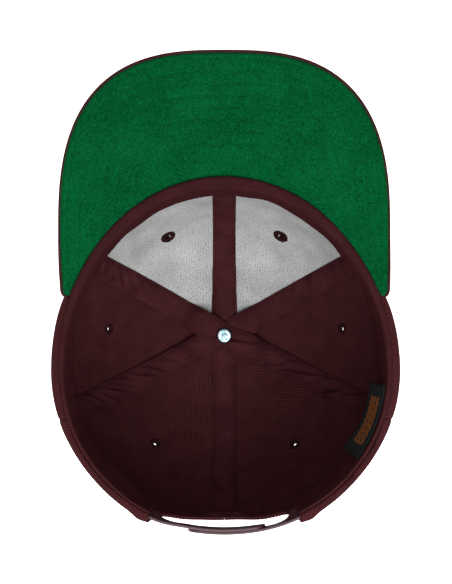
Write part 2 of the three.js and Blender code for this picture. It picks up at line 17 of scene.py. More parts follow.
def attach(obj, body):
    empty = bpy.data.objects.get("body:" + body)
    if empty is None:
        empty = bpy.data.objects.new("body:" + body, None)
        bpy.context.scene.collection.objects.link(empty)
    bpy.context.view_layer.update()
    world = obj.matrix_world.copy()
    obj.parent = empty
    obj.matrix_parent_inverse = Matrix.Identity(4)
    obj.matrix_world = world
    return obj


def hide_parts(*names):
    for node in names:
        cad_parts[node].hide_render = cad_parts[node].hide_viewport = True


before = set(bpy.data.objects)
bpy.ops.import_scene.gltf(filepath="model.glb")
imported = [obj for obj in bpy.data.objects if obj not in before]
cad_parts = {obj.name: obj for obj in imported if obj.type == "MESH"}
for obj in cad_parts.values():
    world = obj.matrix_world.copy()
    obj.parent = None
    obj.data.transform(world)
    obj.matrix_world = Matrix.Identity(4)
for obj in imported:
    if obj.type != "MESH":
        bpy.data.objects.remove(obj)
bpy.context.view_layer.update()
MM = 0.001

# %% [markdown]
# ## Camera, light and floor
# A product photo of this kind is made from straight above, with a long lens, on a white table
# under big soft lights. A camera can be aimed with a constraint or by hand. Here it just hangs
# over the cap, because an unturned camera in Blender looks straight down already.

# %% Camera
camera = bpy.data.objects.new("camera", bpy.data.cameras.new("camera"))
camera.data.lens = 179.3
camera.data.sensor_width = 36
camera.data.clip_end = 20
camera.location = (1.0 * MM, 25.6 * MM, 1718 * MM)
bpy.context.scene.collection.objects.link(camera)
bpy.context.scene.camera = camera
bpy.context.scene.view_settings.view_transform = "Standard"
print("camera at", tuple(camera.location))

# %% Nodes helper
def put(tree, kind, inputs=None, **settings):
    """Adds a node, sets its properties, and gives its inputs values or links."""
    node = tree.nodes.new(kind)
    for name, value in settings.items():
        setattr(node, name, value)
    for name, value in (inputs or {}).items():
        if isinstance(value, bpy.types.NodeSocket):
            tree.links.new(value, node.inputs[name])
        else:
            node.inputs[name].default_value = value
    return node


def new_material(name, color, roughness, **constants):
    """A material with a Principled shader, returned with its node tree and the shader."""
    material = bpy.data.materials.new(name)
    material.use_nodes = True
    material.diffuse_color = (*color, 1)
    shader = material.node_tree.nodes["Principled BSDF"]
    shader.inputs["Base Color"].default_value = (*color, 1)
    shader.inputs["Roughness"].default_value = roughness
    for socket, value in constants.items():
        shader.inputs[socket.replace("_", " ")].default_value = value
    return material, material.node_tree, shader


def speckle(tree, place, scale, detail, distortion=0.0):
    """A noise texture at a place, from 0 to 1."""
    return put(tree, "ShaderNodeTexNoise", {
        "Vector": place, "Scale": scale, "Detail": detail, "Distortion": distortion}).outputs["Fac"]


def object_place(tree):
    return put(tree, "ShaderNodeTexCoord").outputs["Object"]


def cloth_place(tree):
    return put(tree, "ShaderNodeUVMap", uv_map="cloth").outputs["UV"]


def ranged(tree, value, **ends):
    """A value carried to another range, with ends such as From_Min=0.3."""
    ends = {name.replace("_", " "): end for name, end in ends.items()}
    return put(tree, "ShaderNodeMapRange", {"Value": value, **ends}).outputs["Result"]


def two_tones(tree, shader, factor, dark, light):
    """Mixes two colours, or a colour and a socket, into the base colour."""
    dark, light = ((*tone, 1) if isinstance(tone, tuple) else tone for tone in (dark, light))
    mixed = put(tree, "ShaderNodeMix", {"Factor": factor, 6: dark, 7: light}, data_type="RGBA").outputs[2]
    tree.links.new(mixed, shader.inputs["Base Color"])
    return mixed


def bumped(tree, shader, height, strength, distance):
    raised = put(tree, "ShaderNodeBump", {"Height": height, "Strength": strength, "Distance": distance})
    tree.links.new(raised.outputs["Normal"], shader.inputs["Normal"])


# %% Floor and light
bm = bmesh.new()
bmesh.ops.create_grid(bm, x_segments=1, y_segments=1, size=3.0)
floor_mesh = bpy.data.meshes.new("floor")
bm.to_mesh(floor_mesh)
bm.free()
floor = bpy.data.objects.new("floor", floor_mesh)
bpy.context.scene.collection.objects.link(floor)

paper, tree, shader = new_material("white_table", (0.9, 0.9, 0.9), 0.9, Specular_IOR_Level=0.0,
                                   Emission_Color=(1, 1, 1, 1), Emission_Strength=1.0)
specks = speckle(tree, object_place(tree), 40.0, 3.0)
tree.links.new(ranged(tree, specks, To_Min=0.88, To_Max=0.92), shader.inputs["Roughness"])
floor_mesh.materials.append(paper)

world = bpy.data.worlds.new("soft_room")
world.use_nodes = True
world.node_tree.nodes["Background"].inputs["Color"].default_value = (1, 1, 1, 1)
world.node_tree.nodes["Background"].inputs["Strength"].default_value = 0.55
bpy.context.scene.world = world


def softbox(name, place, aim, size, watts):
    """A square area light that points at aim."""
    light = bpy.data.lights.new(name, "AREA")
    light.shape = "SQUARE"
    light.size = size
    light.energy = watts
    lamp = bpy.data.objects.new(name, light)
    lamp.location = place
    lamp.rotation_euler = (Vector(aim) - Vector(place)).to_track_quat("-Z", "Y").to_euler()
    bpy.context.scene.collection.objects.link(lamp)


softbox("softbox_key", (0.2, -0.85, 1.35), (0, 0.02, 0.08), 1.0, 33)
softbox("softbox_over", (-0.3, 0.1, 1.9), (0, 0.02, 0.05), 1.2, 8)
print("floor, room and softboxes are set")

# %% [markdown]
# ## The shape that every layer follows
# The cap is one curved shell, and each panel, tape and backing is a layer of it. In Blender a
# crown could be sculpted, or made from a sphere with modifiers. Here it is written as a formula:
# a bearing round the button, a distance along the cloth, and a depth inwards give a point. So
# each layer can be cut flat, as a tailor cuts it, and then be laid on the crown at its own depth.

# %% Sizes
RIM = {"half_width": 92.5, "front": 88.5, "back": 111.0, "behind": 19.0}
HEIGHT, SINK, PRESS = 118.0, 3.5, 1.0
BUTTON_RADIUS, BUTTON_THICKNESS, GAP = 7.2, 3.5, 0.3
CLOTH, BACKING = 1.2, 2.9  # depth of the inside of the cloth, and of the stiffener on it
SEAM_FRONT, SEAM_BACK = 60.0, 116.5
SEAM_ROW = 3.4  # from a seam to the row of stitches beside it
ARCH_HALF, ARCH_HEIGHT = 42.0, 52.0


def smooth(x, low, high):
    t = np.clip((x - low) / (high - low), 0, 1)
    return t * t * (3 - 2 * t)


def mix(a, b, t):
    return a + (b - a) * t


def lengths_along(path):
    """How far along a path each of its points lies."""
    return np.concatenate([[0], np.cumsum(np.linalg.norm(np.diff(path, axis=0), axis=1))])


def at_length(where, line, path):
    """The place on a path at a length, where line holds the lengths of its points."""
    return np.stack([np.interp(where, line, column) for column in np.transpose(path)], axis=-1)


def by_bearing(front, side, back, bearing):
    """A value at the front, side and back of the cap that changes smoothly between them."""
    turn, ends = np.radians(bearing), (front + back) / 2
    return (ends + side) / 2 + (front - back) / 2 * np.cos(turn) + (ends - side) / 2 * np.cos(2 * turn)


# %% Rim and profile
def to_ellipse(bearing, length):
    across, ahead = np.sin(np.radians(bearing)) / RIM["half_width"], np.cos(np.radians(bearing)) / length
    offset = RIM["behind"] / length
    a, b = across**2 + ahead**2, ahead * offset
    return (-b + np.sqrt(b * b - a * (offset**2 - 1))) / a


def rim_radius(bearing):
    """From the button's axis to the outside of the rim: two half ellipses."""
    ahead = to_ellipse(bearing, RIM["front"] + RIM["behind"])
    behind = to_ellipse(bearing, RIM["back"] - RIM["behind"])
    return np.where(ahead * np.cos(np.radians(bearing)) > -RIM["behind"], ahead, behind)


def profile(bearing, t):
    """Radius and height of the outside of the crown, from the button (t 0) to the rim (t 1)."""
    power = by_bearing(3.0, 2.45, 2.5, bearing)
    fullness = by_bearing(-0.03, 0.08, -0.015, bearing)
    across, down = np.sin(t * np.pi / 2), np.cos(t * np.pi / 2)
    size = (across**power + down**power) ** (-1 / power)
    rise = np.clip(size * down, 0, 1)
    radius = rim_radius(bearing) * (1 + 4 * fullness * rise * (1 - rise)) * size * across
    full = (HEIGHT + PRESS + SINK) * (1 - rise) - SINK
    height = np.where(full <= 0, 0, np.where(full < 2 * PRESS, full**2 / (4 * PRESS), full - PRESS))
    dimple = 1 - smooth(radius, BUTTON_RADIUS + GAP, 27)
    return radius, height + (BUTTON_THICKNESS + GAP) * dimple


# %% Table of the crown
BEARINGS, SHARES = np.linspace(-180, 180, 721), np.linspace(0, 1, 401)
radii, heights = profile(BEARINGS[:, None], np.linspace(0, 1, 801)[None, :])
steps = np.hypot(np.diff(radii), np.diff(heights))
along = np.concatenate([np.zeros((721, 1)), np.cumsum(steps, axis=1)], axis=1)
LENGTHS = along[:, -1]
RADII = np.array([np.interp(SHARES * a[-1], a, r) for a, r in zip(along, radii)])
HEIGHTS = np.array([np.interp(SHARES * a[-1], a, h) for a, h in zip(along, heights)])
print("cloth from button to rim:", round(LENGTHS[360]), "mm in front,", round(LENGTHS[0]), "mm behind")


def wrapped(bearing):
    return (np.asarray(bearing, float) + 180) % 360 - 180


def to_rim(bearing):
    return np.interp(wrapped(bearing), BEARINGS, LENGTHS)


def shell(bearing, share):
    """A point on the outside of the crown, looked up between the rows of the table."""
    bearing, share = np.broadcast_arrays(wrapped(bearing), np.asarray(share, float))
    i, j = (bearing + 180) * 2, np.clip(share, 0, 1) * 400
    i0, j0 = np.minimum(i.astype(int), 719), np.minimum(j.astype(int), 399)
    fi, fj = i - i0, j - j0

    def look(table):
        near = mix(table[i0, j0], table[i0, j0 + 1], fj)
        return mix(near, mix(table[i0 + 1, j0], table[i0 + 1, j0 + 1], fj), fi)

    turn, radius = np.radians(bearing), look(RADII)
    return np.stack([radius * np.sin(turn), radius * np.cos(turn), look(HEIGHTS)], axis=-1)


def crown(bearing, distance, depth=0.0):
    """The point at a bearing, a distance from the button along the cloth, and a depth inwards."""
    bearing, distance, depth = np.broadcast_arrays(bearing, distance, depth)
    share = np.clip(distance / to_rim(bearing), 0, 1)
    here = np.clip(share, 0.004, 0.996)
    onwards = shell(bearing, here + 0.004) - shell(bearing, here - 0.004)
    round_it = shell(bearing + 0.5, here) - shell(bearing - 0.5, here)
    inwards = np.cross(round_it, onwards)
    inwards[..., 2] *= 1 - share**8
    inwards /= np.linalg.norm(inwards, axis=-1, keepdims=True)
    return shell(bearing, share) + inwards * depth[..., None]


def radius_at(bearing, distance):
    """From the button's axis to a place on the cloth."""
    return np.hypot(*crown(bearing, distance)[:, :2].T)


def rim_point(bearing, inwards, above):
    bearing, inwards, above = np.broadcast_arrays(bearing, inwards, above)
    point = crown(bearing, to_rim(bearing), inwards)
    point[..., 2] += above
    return point


def back_bearing(across):
    return 180 - np.degrees(np.arcsin(across / RIM["back"]))


def back_point(across, up, depth):
    """A place on the back wall, across from the middle and up from the rim."""
    across, up, depth = np.broadcast_arrays(across, up, depth)
    bearing = back_bearing(across)
    point = crown(bearing, to_rim(bearing) - np.maximum(up, 0), depth)
    point[..., 2] += np.maximum(-up, 0)
    return point


# %% [markdown]
# ## Flat pieces and how they are laid
# Cloth is cut flat. `create_grid` gives a flat sheet whose corners go from 0 to 1, and an extrude
# gives it a second face. Then every vertex is carried to its place on the cap, and its place on
# the flat cloth is kept as a UV map, so that the weave runs over a panel without a stretch.

# %% Sheets, lofts and keeping a piece
def flat_sheet(columns, rows):
    bm = bmesh.new()
    bmesh.ops.create_grid(bm, x_segments=columns, y_segments=rows, size=0.5)
    bmesh.ops.translate(bm, verts=bm.verts[:], vec=(0.5, 0.5, 0))
    return bm


def thicken(bm, by=1):
    """A second face above the first, with walls round the edge."""
    grown = bmesh.ops.extrude_face_region(bm, geom=bm.faces[:], use_keep_orig=True)["geom"]
    bmesh.ops.translate(bm, verts=[g for g in grown if isinstance(g, bmesh.types.BMVert)], vec=(0, 0, by))
    return bm


def corners(bm):
    """The flat coordinates of every vertex, as three arrays."""
    bm.verts.index_update()
    return np.array([vert.co[:] for vert in bm.verts]).T


SPREAD = {"left": 0.022, "right": 0.007}  # share by which a worn side is wider


def settled(points):
    """Spreads the sides of the worn cap a little, the left more than the right."""
    points = np.array(points, float)
    spread = np.where(points[..., 0] > 0, SPREAD["left"], SPREAD["right"])
    spread *= 1 - smooth(points[..., 1], 10, 60)
    points[..., 0] *= 1 + spread
    return points


def lay(bm, points, cloth=None):
    """Carries each vertex to its point in mm, and keeps its place on the flat cloth as a UV map."""
    points = settled(points)
    if cloth is not None:
        layer = bm.loops.layers.uv.new("cloth")
        for face in bm.faces:
            for loop in face.loops:
                loop[layer].uv = (cloth[0][loop.vert.index], cloth[1][loop.vert.index])
    for vert, point in zip(bm.verts, points * MM):
        vert.co = point


def on_bias(a, b):
    """Flat coordinates on cloth that is cut at a slant."""
    return [a * 0.8 + b * 0.6, b * 0.8 - a * 0.6]


def pierce(bm, points, middle, radius=3.4):
    """Deletes the faces round an eyelet, where points holds each vertex's place on the crown."""
    far = np.linalg.norm(points - middle, axis=-1)
    near = [face for face in bm.faces if all(far[vert.index] < radius for vert in face.verts)]
    bmesh.ops.delete(bm, geom=near, context="FACES")


def close_loft(bm):
    """Joins the first and last row of a rolled-up sheet, and caps its two ends."""
    bmesh.ops.remove_doubles(bm, verts=bm.verts[:], dist=1e-6)
    bmesh.ops.holes_fill(bm, edges=[edge for edge in bm.edges if edge.is_boundary], sides=0)


def keep(bm, name, material, replaced=(), sharp=None):
    """Makes the bmesh a piece of the cap."""
    bmesh.ops.recalc_face_normals(bm, faces=bm.faces[:])
    for face in bm.faces:
        face.smooth = True
    mesh = bpy.data.meshes.new(name)
    bm.to_mesh(mesh)
    bm.free()
    if sharp:
        mesh.set_sharp_from_angle(angle=math.radians(sharp))
    mesh.materials.append(material)
    piece = bpy.data.objects.new(name, mesh)
    bpy.context.scene.collection.objects.link(piece)
    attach(piece, "root")
    if replaced:
        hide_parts(*replaced)
    print(f"{name}: {len(mesh.polygons)} faces")
    return piece


# %% [markdown]
# ## Soft unevenness
# Cloth that has been worn is never a perfect dome. A sculpt brush or a displace modifier could
# dent it. Here one smooth noise field is added to the depth of every layer, so that the layers
# dent together and stay on each other. It fades at the rim and where the crown rests on the floor.

# %% Dents shared by all layers
def wobble(points, size, seed):
    """Smooth noise from -1 to 1 at points in mm."""
    shift = Vector((seed * 17.3, seed * 5.1, seed * 9.7))
    return np.array([noise.noise(Vector(point) / size + shift) for point in points])


def dents(bearing, distance):
    points = crown(bearing, distance).reshape(-1, 3)
    share = np.ravel(np.broadcast_to(distance / to_rim(bearing), np.shape(bearing)))
    field = 1.5 * wobble(points, 46, 1) + 0.7 * wobble(points, 19, 2)
    fade = smooth(share, 0.1, 0.3) * (1 - smooth(share, 0.72, 0.95))
    on_floor = 1 - smooth(points[:, 2], 0.5, 9)
    field = mix(field, np.abs(field) * 0.5, on_floor) * fade
    return field.reshape(np.shape(bearing)) + pull(bearing, distance)


def pull(bearing, distance):
    """Beside the half-moon the wall is drawn in under the rim, more on the left than on the right."""
    turn, below = wrapped(bearing), to_rim(bearing) - distance
    size = np.where(turn > 0, 4.0, 2.4)
    near = np.exp(-(((np.abs(turn) - 162) / 9) ** 2)) * np.exp(-(((below - 26) / 17) ** 2))
    return size * near * smooth(below, 1, 12)


# %% [markdown]
# ## The twill of the crown
# Twill has fine slanted ribs. They could be modelled thread by thread, or drawn as an image. A
# node group that makes a ridge from the UV map keeps them sharp at any distance, and gives a
# height for the bump and a tone for the colour. The ribs run another way on each panel, since
# each panel is cut from the cloth at its own angle.

# %% Weave group
def group_of(name, inputs, outputs):
    """An empty node group with the named inputs and outputs."""
    tree = bpy.data.node_groups.new(name, "ShaderNodeTree")
    for label, kind in inputs.items():
        tree.interface.new_socket(label, in_out="INPUT", socket_type=kind)
    for label in outputs:
        tree.interface.new_socket(label, in_out="OUTPUT", socket_type="NodeSocketFloat")
    return tree, put(tree, "NodeGroupInput"), put(tree, "NodeGroupOutput")


def sum_up(tree, operation, *values):
    """One Math node, with numbers or sockets as its inputs."""
    return put(tree, "ShaderNodeMath", dict(enumerate(values)), operation=operation).outputs[0]


FLOAT, VECTOR = "NodeSocketFloat", "NodeSocketVector"
weave, start, end = group_of("twill_weave", {"Place": VECTOR, "Pitch": FLOAT}, ["Tone", "Height"])
loose = speckle(weave, start.outputs["Place"], 0.12, 1.0)
parts = put(weave, "ShaderNodeSeparateXYZ", {0: start.outputs["Place"]})
shifted = sum_up(weave, "MULTIPLY_ADD", loose, 1.5, parts.outputs[0])
turn = sum_up(weave, "MULTIPLY", sum_up(weave, "DIVIDE", shifted, start.outputs["Pitch"]), 2 * math.pi)
rib = sum_up(weave, "MULTIPLY_ADD", sum_up(weave, "SINE", turn), 0.5, 0.5)
along_rib = sum_up(weave, "DIVIDE", parts.outputs[1], start.outputs["Pitch"])
yarn = sum_up(weave, "SINE", sum_up(weave, "MULTIPLY_ADD", along_rib, 2 * math.pi, turn))
height = sum_up(weave, "MULTIPLY_ADD", yarn, 0.18, rib)
specks = speckle(weave, start.outputs["Place"], 1.6, 2.0)
tone = sum_up(weave, "MULTIPLY_ADD", specks, 0.45, sum_up(weave, "MULTIPLY", height, 0.55))
weave.links.new(tone, end.inputs["Tone"])
weave.links.new(height, end.inputs["Height"])


# %% Woven cloth materials
def woven(name, dark, light, pitch, bump, mottle=0.5):
    """Cloth of two tones, with the twill group in its colour and bump."""
    material, tree, shader = new_material(name, light, 1.0, Specular_IOR_Level=0.0, Sheen_Weight=0.03,
                                          Sheen_Roughness=0.6, Sheen_Tint=(0.55, 0.12, 0.14, 1))
    place = cloth_place(tree)
    twill = put(tree, "ShaderNodeGroup", {"Place": place, "Pitch": pitch}, node_tree=weave)
    patchy = sum_up(tree, "SUBTRACT", speckle(tree, place, 0.09, 4.0), 0.5)
    worn = sum_up(tree, "MULTIPLY_ADD", patchy, mottle, twill.outputs["Tone"])
    two_tones(tree, shader, worn, dark, light)
    bumped(tree, shader, twill.outputs["Height"], 0.8, bump)
    return material


cotton = woven("maroon_twill", (0.010, 0.0028, 0.0031), (0.070, 0.0190, 0.0216), 1.3, 0.0003)
banding = woven("maroon_band", (0.016, 0.0044, 0.0052), (0.043, 0.0118, 0.0136), 0.9, 0.00012, mottle=0.9)
taping = woven("maroon_tape", (0.018, 0.0052, 0.0060), (0.056, 0.0150, 0.0178), 1.0, 0.0001, mottle=1.3)
print("materials:", cotton.name, banding.name, taping.name)


# %% [markdown]
# ## The six panels
# Each panel is a gore: wide at the rim and pointed at the button. Its edges turn in at the seams,
# which leaves a groove outside, and it is folded over at the rim. The two back panels also leave a
# half-moon for the strap. A gore could be cut from a sphere by a boolean. A sheet whose rows run
# from the button to the rim, or to the edge of the half-moon, needs no cut and keeps clean quads.

# %% Panel shape
def arch_up(bearing):
    """Height of the half-moon over the rim at a bearing, and 0 beside it."""
    across = RIM["back"] * np.abs(np.sin(np.radians(bearing)))
    inside = (np.abs(wrapped(bearing)) > 90) & (across < ARCH_HALF)
    return np.where(inside, ARCH_HEIGHT * np.sqrt(np.clip(1 - (across / ARCH_HALF) ** 2, 0, 1)), 0)


def band_inset(bearing):
    return by_bearing(-0.7, 1.2, 5.0, bearing)


def hem_depth(bearing, from_rim):
    """Depth of the inside of the folded hem. Its lip reaches in to the sweatband's roll."""
    pocket = back_bearing(ARCH_HALF + 10 + GAP)
    fade = 1 - smooth(np.abs(wrapped(bearing)), pocket - 6, pocket)
    hem = CLOTH + 1.8 * np.clip(1 - from_rim / 10, 0, 1) * fade
    beside = (arch_up(bearing) == 0) * 1.0
    lip = mix(CLOTH, np.maximum(band_inset(bearing) - 0.2, 2.6), (1 - smooth(from_rim, 0.9, 2.4)) * beside)
    return np.maximum(hem, lip)


PANELS = {"front": (0.0, SEAM_FRONT), "side": (SEAM_FRONT, SEAM_BACK), "back": (SEAM_BACK, 180.0)}
EYELETS = {"front": (29.5, 0.44), "side": (86.5, 0.42), "back": (147.5, 0.43)}


def eyelet_at(part, side):
    bearing, share = EYELETS[part]
    return side * bearing, share * float(to_rim(bearing))


def columns_of(part):
    """Bearings of a panel's columns. Beside the half-moon they crowd where its edge is steep."""
    first, last = PANELS[part]
    if part != "back":
        return np.linspace(first, last, 57)
    arch = back_bearing(ARCH_HALF * np.cos(np.linspace(0, np.pi / 2, 44)))
    return np.concatenate([np.linspace(first, arch[0], 39)[:-1], arch])


STEEPNESS = 1.6  # length of cloth behind each mm of wall in the picture


def on_grain(part, side, ribs, across, along):
    """Flat coordinates across and along the ribs, for ribs at an angle in the picture."""
    first, last = PANELS[part]
    middle = np.radians(side * (first + last) / 2)
    line = np.array([math.cos(math.radians(ribs)), math.sin(math.radians(ribs))])
    flat = np.array([line @ [math.cos(middle), -math.sin(middle)],
                     STEEPNESS * line @ [math.sin(middle), math.cos(middle)]])
    flat /= np.linalg.norm(flat)
    return [across * flat[1] - along * flat[0], across * flat[0] + along * flat[1]]


# %% Make the panels
RIBS = {("front", 1): 40, ("front", -1): 140, ("side", 1): 118, ("side", -1): 40,
        ("back", 1): 3, ("back", -1): 98}
NAMES = {1: "left", -1: "right"}


def make_panel(part, side):
    first, last = PANELS[part]
    table = columns_of(part)
    bm = flat_sheet(len(table) - 1, 110)

    def place(u, v):
        bearing = np.interp(u, np.linspace(0, 1, len(table)), table)
        end = to_rim(bearing) - arch_up(bearing)
        distance = np.where(v < 0.92, mix(4.0, end - 3, v / 0.92), mix(end - 3, end, (v - 0.92) / 0.08))
        return bearing, distance, end

    u, v, w = corners(bm)
    bearing, distance, end = place(u, v)
    pierce(bm, crown(side * bearing, distance), crown(*eyelet_at(part, side)))
    thicken(bm)

    u, v, w = corners(bm)
    bearing, distance, end = place(u, v)
    radius = radius_at(bearing, distance)
    from_first, from_last = (np.abs(np.radians(bearing - seam)) * radius for seam in (first, last))
    from_seam = np.minimum(from_first, from_last)
    groove = 0.55 * np.exp(-((from_seam / 0.9) ** 2)) + 0.22 * np.exp(-(((from_seam - SEAM_ROW) / 0.6) ** 2))
    from_end = end - distance
    arch = arch_up(bearing) > 0
    lip = np.where(arch, 0.5, 1.1)
    rounding = lip * (1 - np.sqrt(1 - np.clip(1 - from_end / lip, 0, 1) ** 2))
    outside = groove * (1 - smooth(distance / end, 0.93, 0.98)) + rounding
    beside = RIM["back"] * np.sin(np.radians(bearing)) - ARCH_HALF
    lump = np.exp(-(((beside - 5.5) / 4) ** 2)) * (1 - smooth(from_end, 2, 16)) * (bearing > 120)
    outside -= 1.2 * lump * (w < 0.5)
    inside = hem_depth(bearing, to_rim(bearing) - distance) - rounding
    depth = mix(outside, inside, w) + dents(side * bearing, distance)
    shrink = 0.06 / np.maximum(radius, 4)
    bearing = np.where(from_first < 0.01, bearing + np.degrees(shrink), bearing)
    bearing = np.where(from_last < 0.01, bearing - np.degrees(shrink), bearing)
    points = crown(side * bearing, distance, depth)
    across = side * np.radians(bearing - (first + last) / 2) * radius
    laid = distance + np.maximum(depth, 0) * smooth(distance / end, 0.9, 0.98)
    lay(bm, points, on_grain(part, side, RIBS[part, side], across, laid))
    name = f"{part}_panel_{NAMES[side]}"
    keep(bm, name + "_twill", cotton, [name])


for side in NAMES:
    for part in PANELS:
        make_panel(part, side)

# %% [markdown]
# ## The buckram behind the front
# The two front panels are stiffened by a grey open fabric. It shows pale inside the cap, with fine
# slanting threads and rows of tiny pores. It is laid like a panel, one layer further in.

# %% Buckram material
buckram, tree, shader = new_material("grey_buckram", (0.3, 0.3, 0.3), 1.0, Specular_IOR_Level=0.0)
place = cloth_place(tree)
fine = put(tree, "ShaderNodeGroup", {"Place": place, "Pitch": 1.4}, node_tree=weave)
drift = put(tree, "ShaderNodeTexNoise", {"Vector": place, "Scale": 0.3, "Detail": 1.0})
swayed = put(tree, "ShaderNodeVectorMath", {0: drift.outputs["Color"], "Scale": 2.4}, operation="SCALE")
axes = put(tree, "ShaderNodeSeparateXYZ", {0: put(
    tree, "ShaderNodeVectorMath", {0: place, 1: swayed.outputs[0]}, operation="ADD").outputs[0]})
rows = sum_up(tree, "SINE", sum_up(tree, "MULTIPLY", axes.outputs[0], 2 * math.pi / 1.9))
yarns = sum_up(tree, "SINE", sum_up(tree, "MULTIPLY", axes.outputs[1], 2 * math.pi / 2.6))
crossings = sum_up(tree, "MULTIPLY", rows, yarns)
dots = ranged(tree, crossings, From_Min=0.0, From_Max=0.8, To_Min=1.0, To_Max=0.1)
strong = ranged(tree, speckle(tree, place, 0.55, 2.0), From_Min=0.3, From_Max=0.62)
pores = put(tree, "ShaderNodeMix", {"Factor": strong, 2: 1.0, 3: dots})
cloudy = speckle(tree, place, 0.05, 3.0)
cloudy = sum_up(tree, "MULTIPLY_ADD", cloudy, 0.5, sum_up(tree, "MULTIPLY", fine.outputs["Tone"], 0.32))
level = sum_up(tree, "MULTIPLY", pores.outputs[0], cloudy)
two_tones(tree, shader, level, (0.12, 0.12, 0.12), (0.64, 0.64, 0.64))
bumped(tree, shader, level, 0.5, 0.0003)


# %% Make the buckram
def make_buckram(side):
    bm = flat_sheet(56, 90)

    def place(u, v):
        bearing = u * SEAM_FRONT
        return bearing, mix(12, to_rim(bearing) - 11.5, v)

    u, v, w = corners(bm)
    bearing, distance = place(u, v)
    pierce(bm, crown(side * bearing, distance), crown(*eyelet_at("front", side)))
    thicken(bm)
    u, v, w = corners(bm)
    bearing, distance = place(u, v)
    points = crown(side * bearing, distance, mix(CLOTH + 0.1, BACKING, w) + dents(side * bearing, distance))
    across = side * np.radians(bearing - SEAM_FRONT / 2) * radius_at(bearing, distance)
    lay(bm, points, on_grain("front", side, 52 if side < 0 else 128, across, distance))
    keep(bm, f"buckram_{NAMES[side]}_cloth", buckram, [f"buckram_{NAMES[side]}"])


for side in NAMES:
    make_buckram(side)

# %% [markdown]
# ## Stitches
# A stitch is a short thread that dips into the cloth at both ends. Rows of them could be a bump
# texture, but real little capsules catch the light and show from any side. Each is a stretched
# `create_uvsphere` with few faces, because there are thousands.

# %% Thread rows
def pour(made, bm):
    """Adds a whole bmesh to another one."""
    mesh = bpy.data.meshes.new("poured")
    made.to_mesh(mesh)
    made.free()
    bm.from_mesh(mesh)
    bpy.data.meshes.remove(mesh)


def add_capsules(bm, places):
    """Round threads, each a small sphere with its own matrix. An operator slows down as its mesh
    grows, so they are made ten at a time and then added to the piece."""
    for first in range(0, len(places), 10):
        few = bmesh.new()
        for matrix in places[first:first + 10]:
            bmesh.ops.create_uvsphere(few, u_segments=6, v_segments=5, radius=1, matrix=matrix)
        pour(few, bm)


def thread_row(bm, points, ups, pitch=3.0, length=2.2, width=0.5):
    """Stitches along a line of points, each lying flat under its up direction. Sizes are in mm."""
    points = settled(points)
    line, places = lengths_along(points), []
    for middle in np.arange(pitch / 2, line[-1] - length / 2, pitch):
        at, tip = at_length(middle, line, points), at_length(middle + 0.5, line, points)
        x = Vector(tip - at).normalized()
        y = Vector(at_length(middle, line, ups)).cross(x).normalized()
        turn = Matrix((x, y, x.cross(y))).transposed().to_4x4()
        size = Matrix.Diagonal((length / 2 * MM, width / 2 * MM, width / 2 * MM, 1))
        places.append(Matrix.Translation(Vector(at) * MM) @ turn @ size)
    add_capsules(bm, places)


def thread_material(name, dark, light):
    material, tree, shader = new_material(name, light, 0.9, Specular_IOR_Level=0.03)
    two_tones(tree, shader, speckle(tree, object_place(tree), 900.0, 1.0), dark, light)
    return material


maroon_thread = thread_material("maroon_thread", (0.022, 0.005, 0.0065), (0.075, 0.020, 0.024))
dark_thread = thread_material("dark_thread", (0.008, 0.0025, 0.003), (0.030, 0.009, 0.011))
green_thread = thread_material("green_thread", (0.0006, 0.026, 0.0075), (0.0018, 0.080, 0.023))


# %% [markdown]
# ## The seam tapes
# Three long tapes hide the seams inside. They cross under the button's stem, one over the other.
# Each is sewn along both edges, so it is full between the rows, and it puckers where the curved
# seam is shorter than the flat tape. Cloth simulation could wrinkle them. A few ridges placed
# where the photograph shows them give the same folds and stay where they are put.

# %% Tape shape
TAPES = {
    "seam_tape_front_back": dict(ends=(180, 0), clears=(57.0, 11.5), level=0),
    "seam_tape_left_front": dict(ends=(-SEAM_BACK, SEAM_FRONT), clears=(11.5, 11.5), level=1),
    "seam_tape_right_front": dict(ends=(SEAM_BACK, -SEAM_FRONT), clears=(11.5, 11.5), level=2),
}
# Folds across a tape: from and to along it, how many, how high in mm, and their slant
PUCKERS = {
    "seam_tape_front_back": [(-90, -30, 5, 0.25, 0.5), (40, 120, 4, 0.2, -0.4)],
    "seam_tape_left_front": [(-100, -44, 7, 1.7, 1.4), (-44, -14, 3, 1.0, 1.2), (30, 120, 6, 0.8, -0.8)],
    "seam_tape_right_front": [(-94, -8, 15, 2.0, -2.3), (60, 128, 6, 1.0, 1.2)],
}
TAPE_HALF, TAPE_ROW = 7.0, 5.3  # half its width, and its rows of stitches from the middle
WELTS = {"seam_tape_front_back": 0, "seam_tape_left_front": 1, "seam_tape_right_front": -1}


def tape_place(tape, along, across):
    """Bearing and distance of a place on a tape, whose two halves have their own headings."""
    turns = np.radians(tape["ends"])
    heads = np.stack([np.sin(turns), np.cos(turns)], axis=-1)
    ahead = (along >= 0).astype(int)
    distance = np.abs(along)
    ends = np.array(tape["ends"], float)[ahead]
    radius = radius_at(ends, distance)
    stretch = np.where(distance > 1, distance / np.maximum(radius, 0.5), 1)
    heading = mix(-heads[0], heads[1], smooth(along, -15, 15)[:, None])
    heading /= np.linalg.norm(heading, axis=-1, keepdims=True)
    spread = heads[ahead] * distance[:, None]
    spread += np.stack([heading[:, 1], -heading[:, 0]], axis=-1) * (across * stretch)[:, None]
    return np.degrees(np.arctan2(spread[:, 0], spread[:, 1])), np.linalg.norm(spread, axis=-1)


def tape_base(bearing, distance, level):
    x, y = crown(bearing, distance)[:, :2].T
    stack = 1 - smooth(np.hypot(x, y), 15, 27)
    return 1.9 + 1.7 * smooth(y, -26, -6) + level * 1.7 * stack


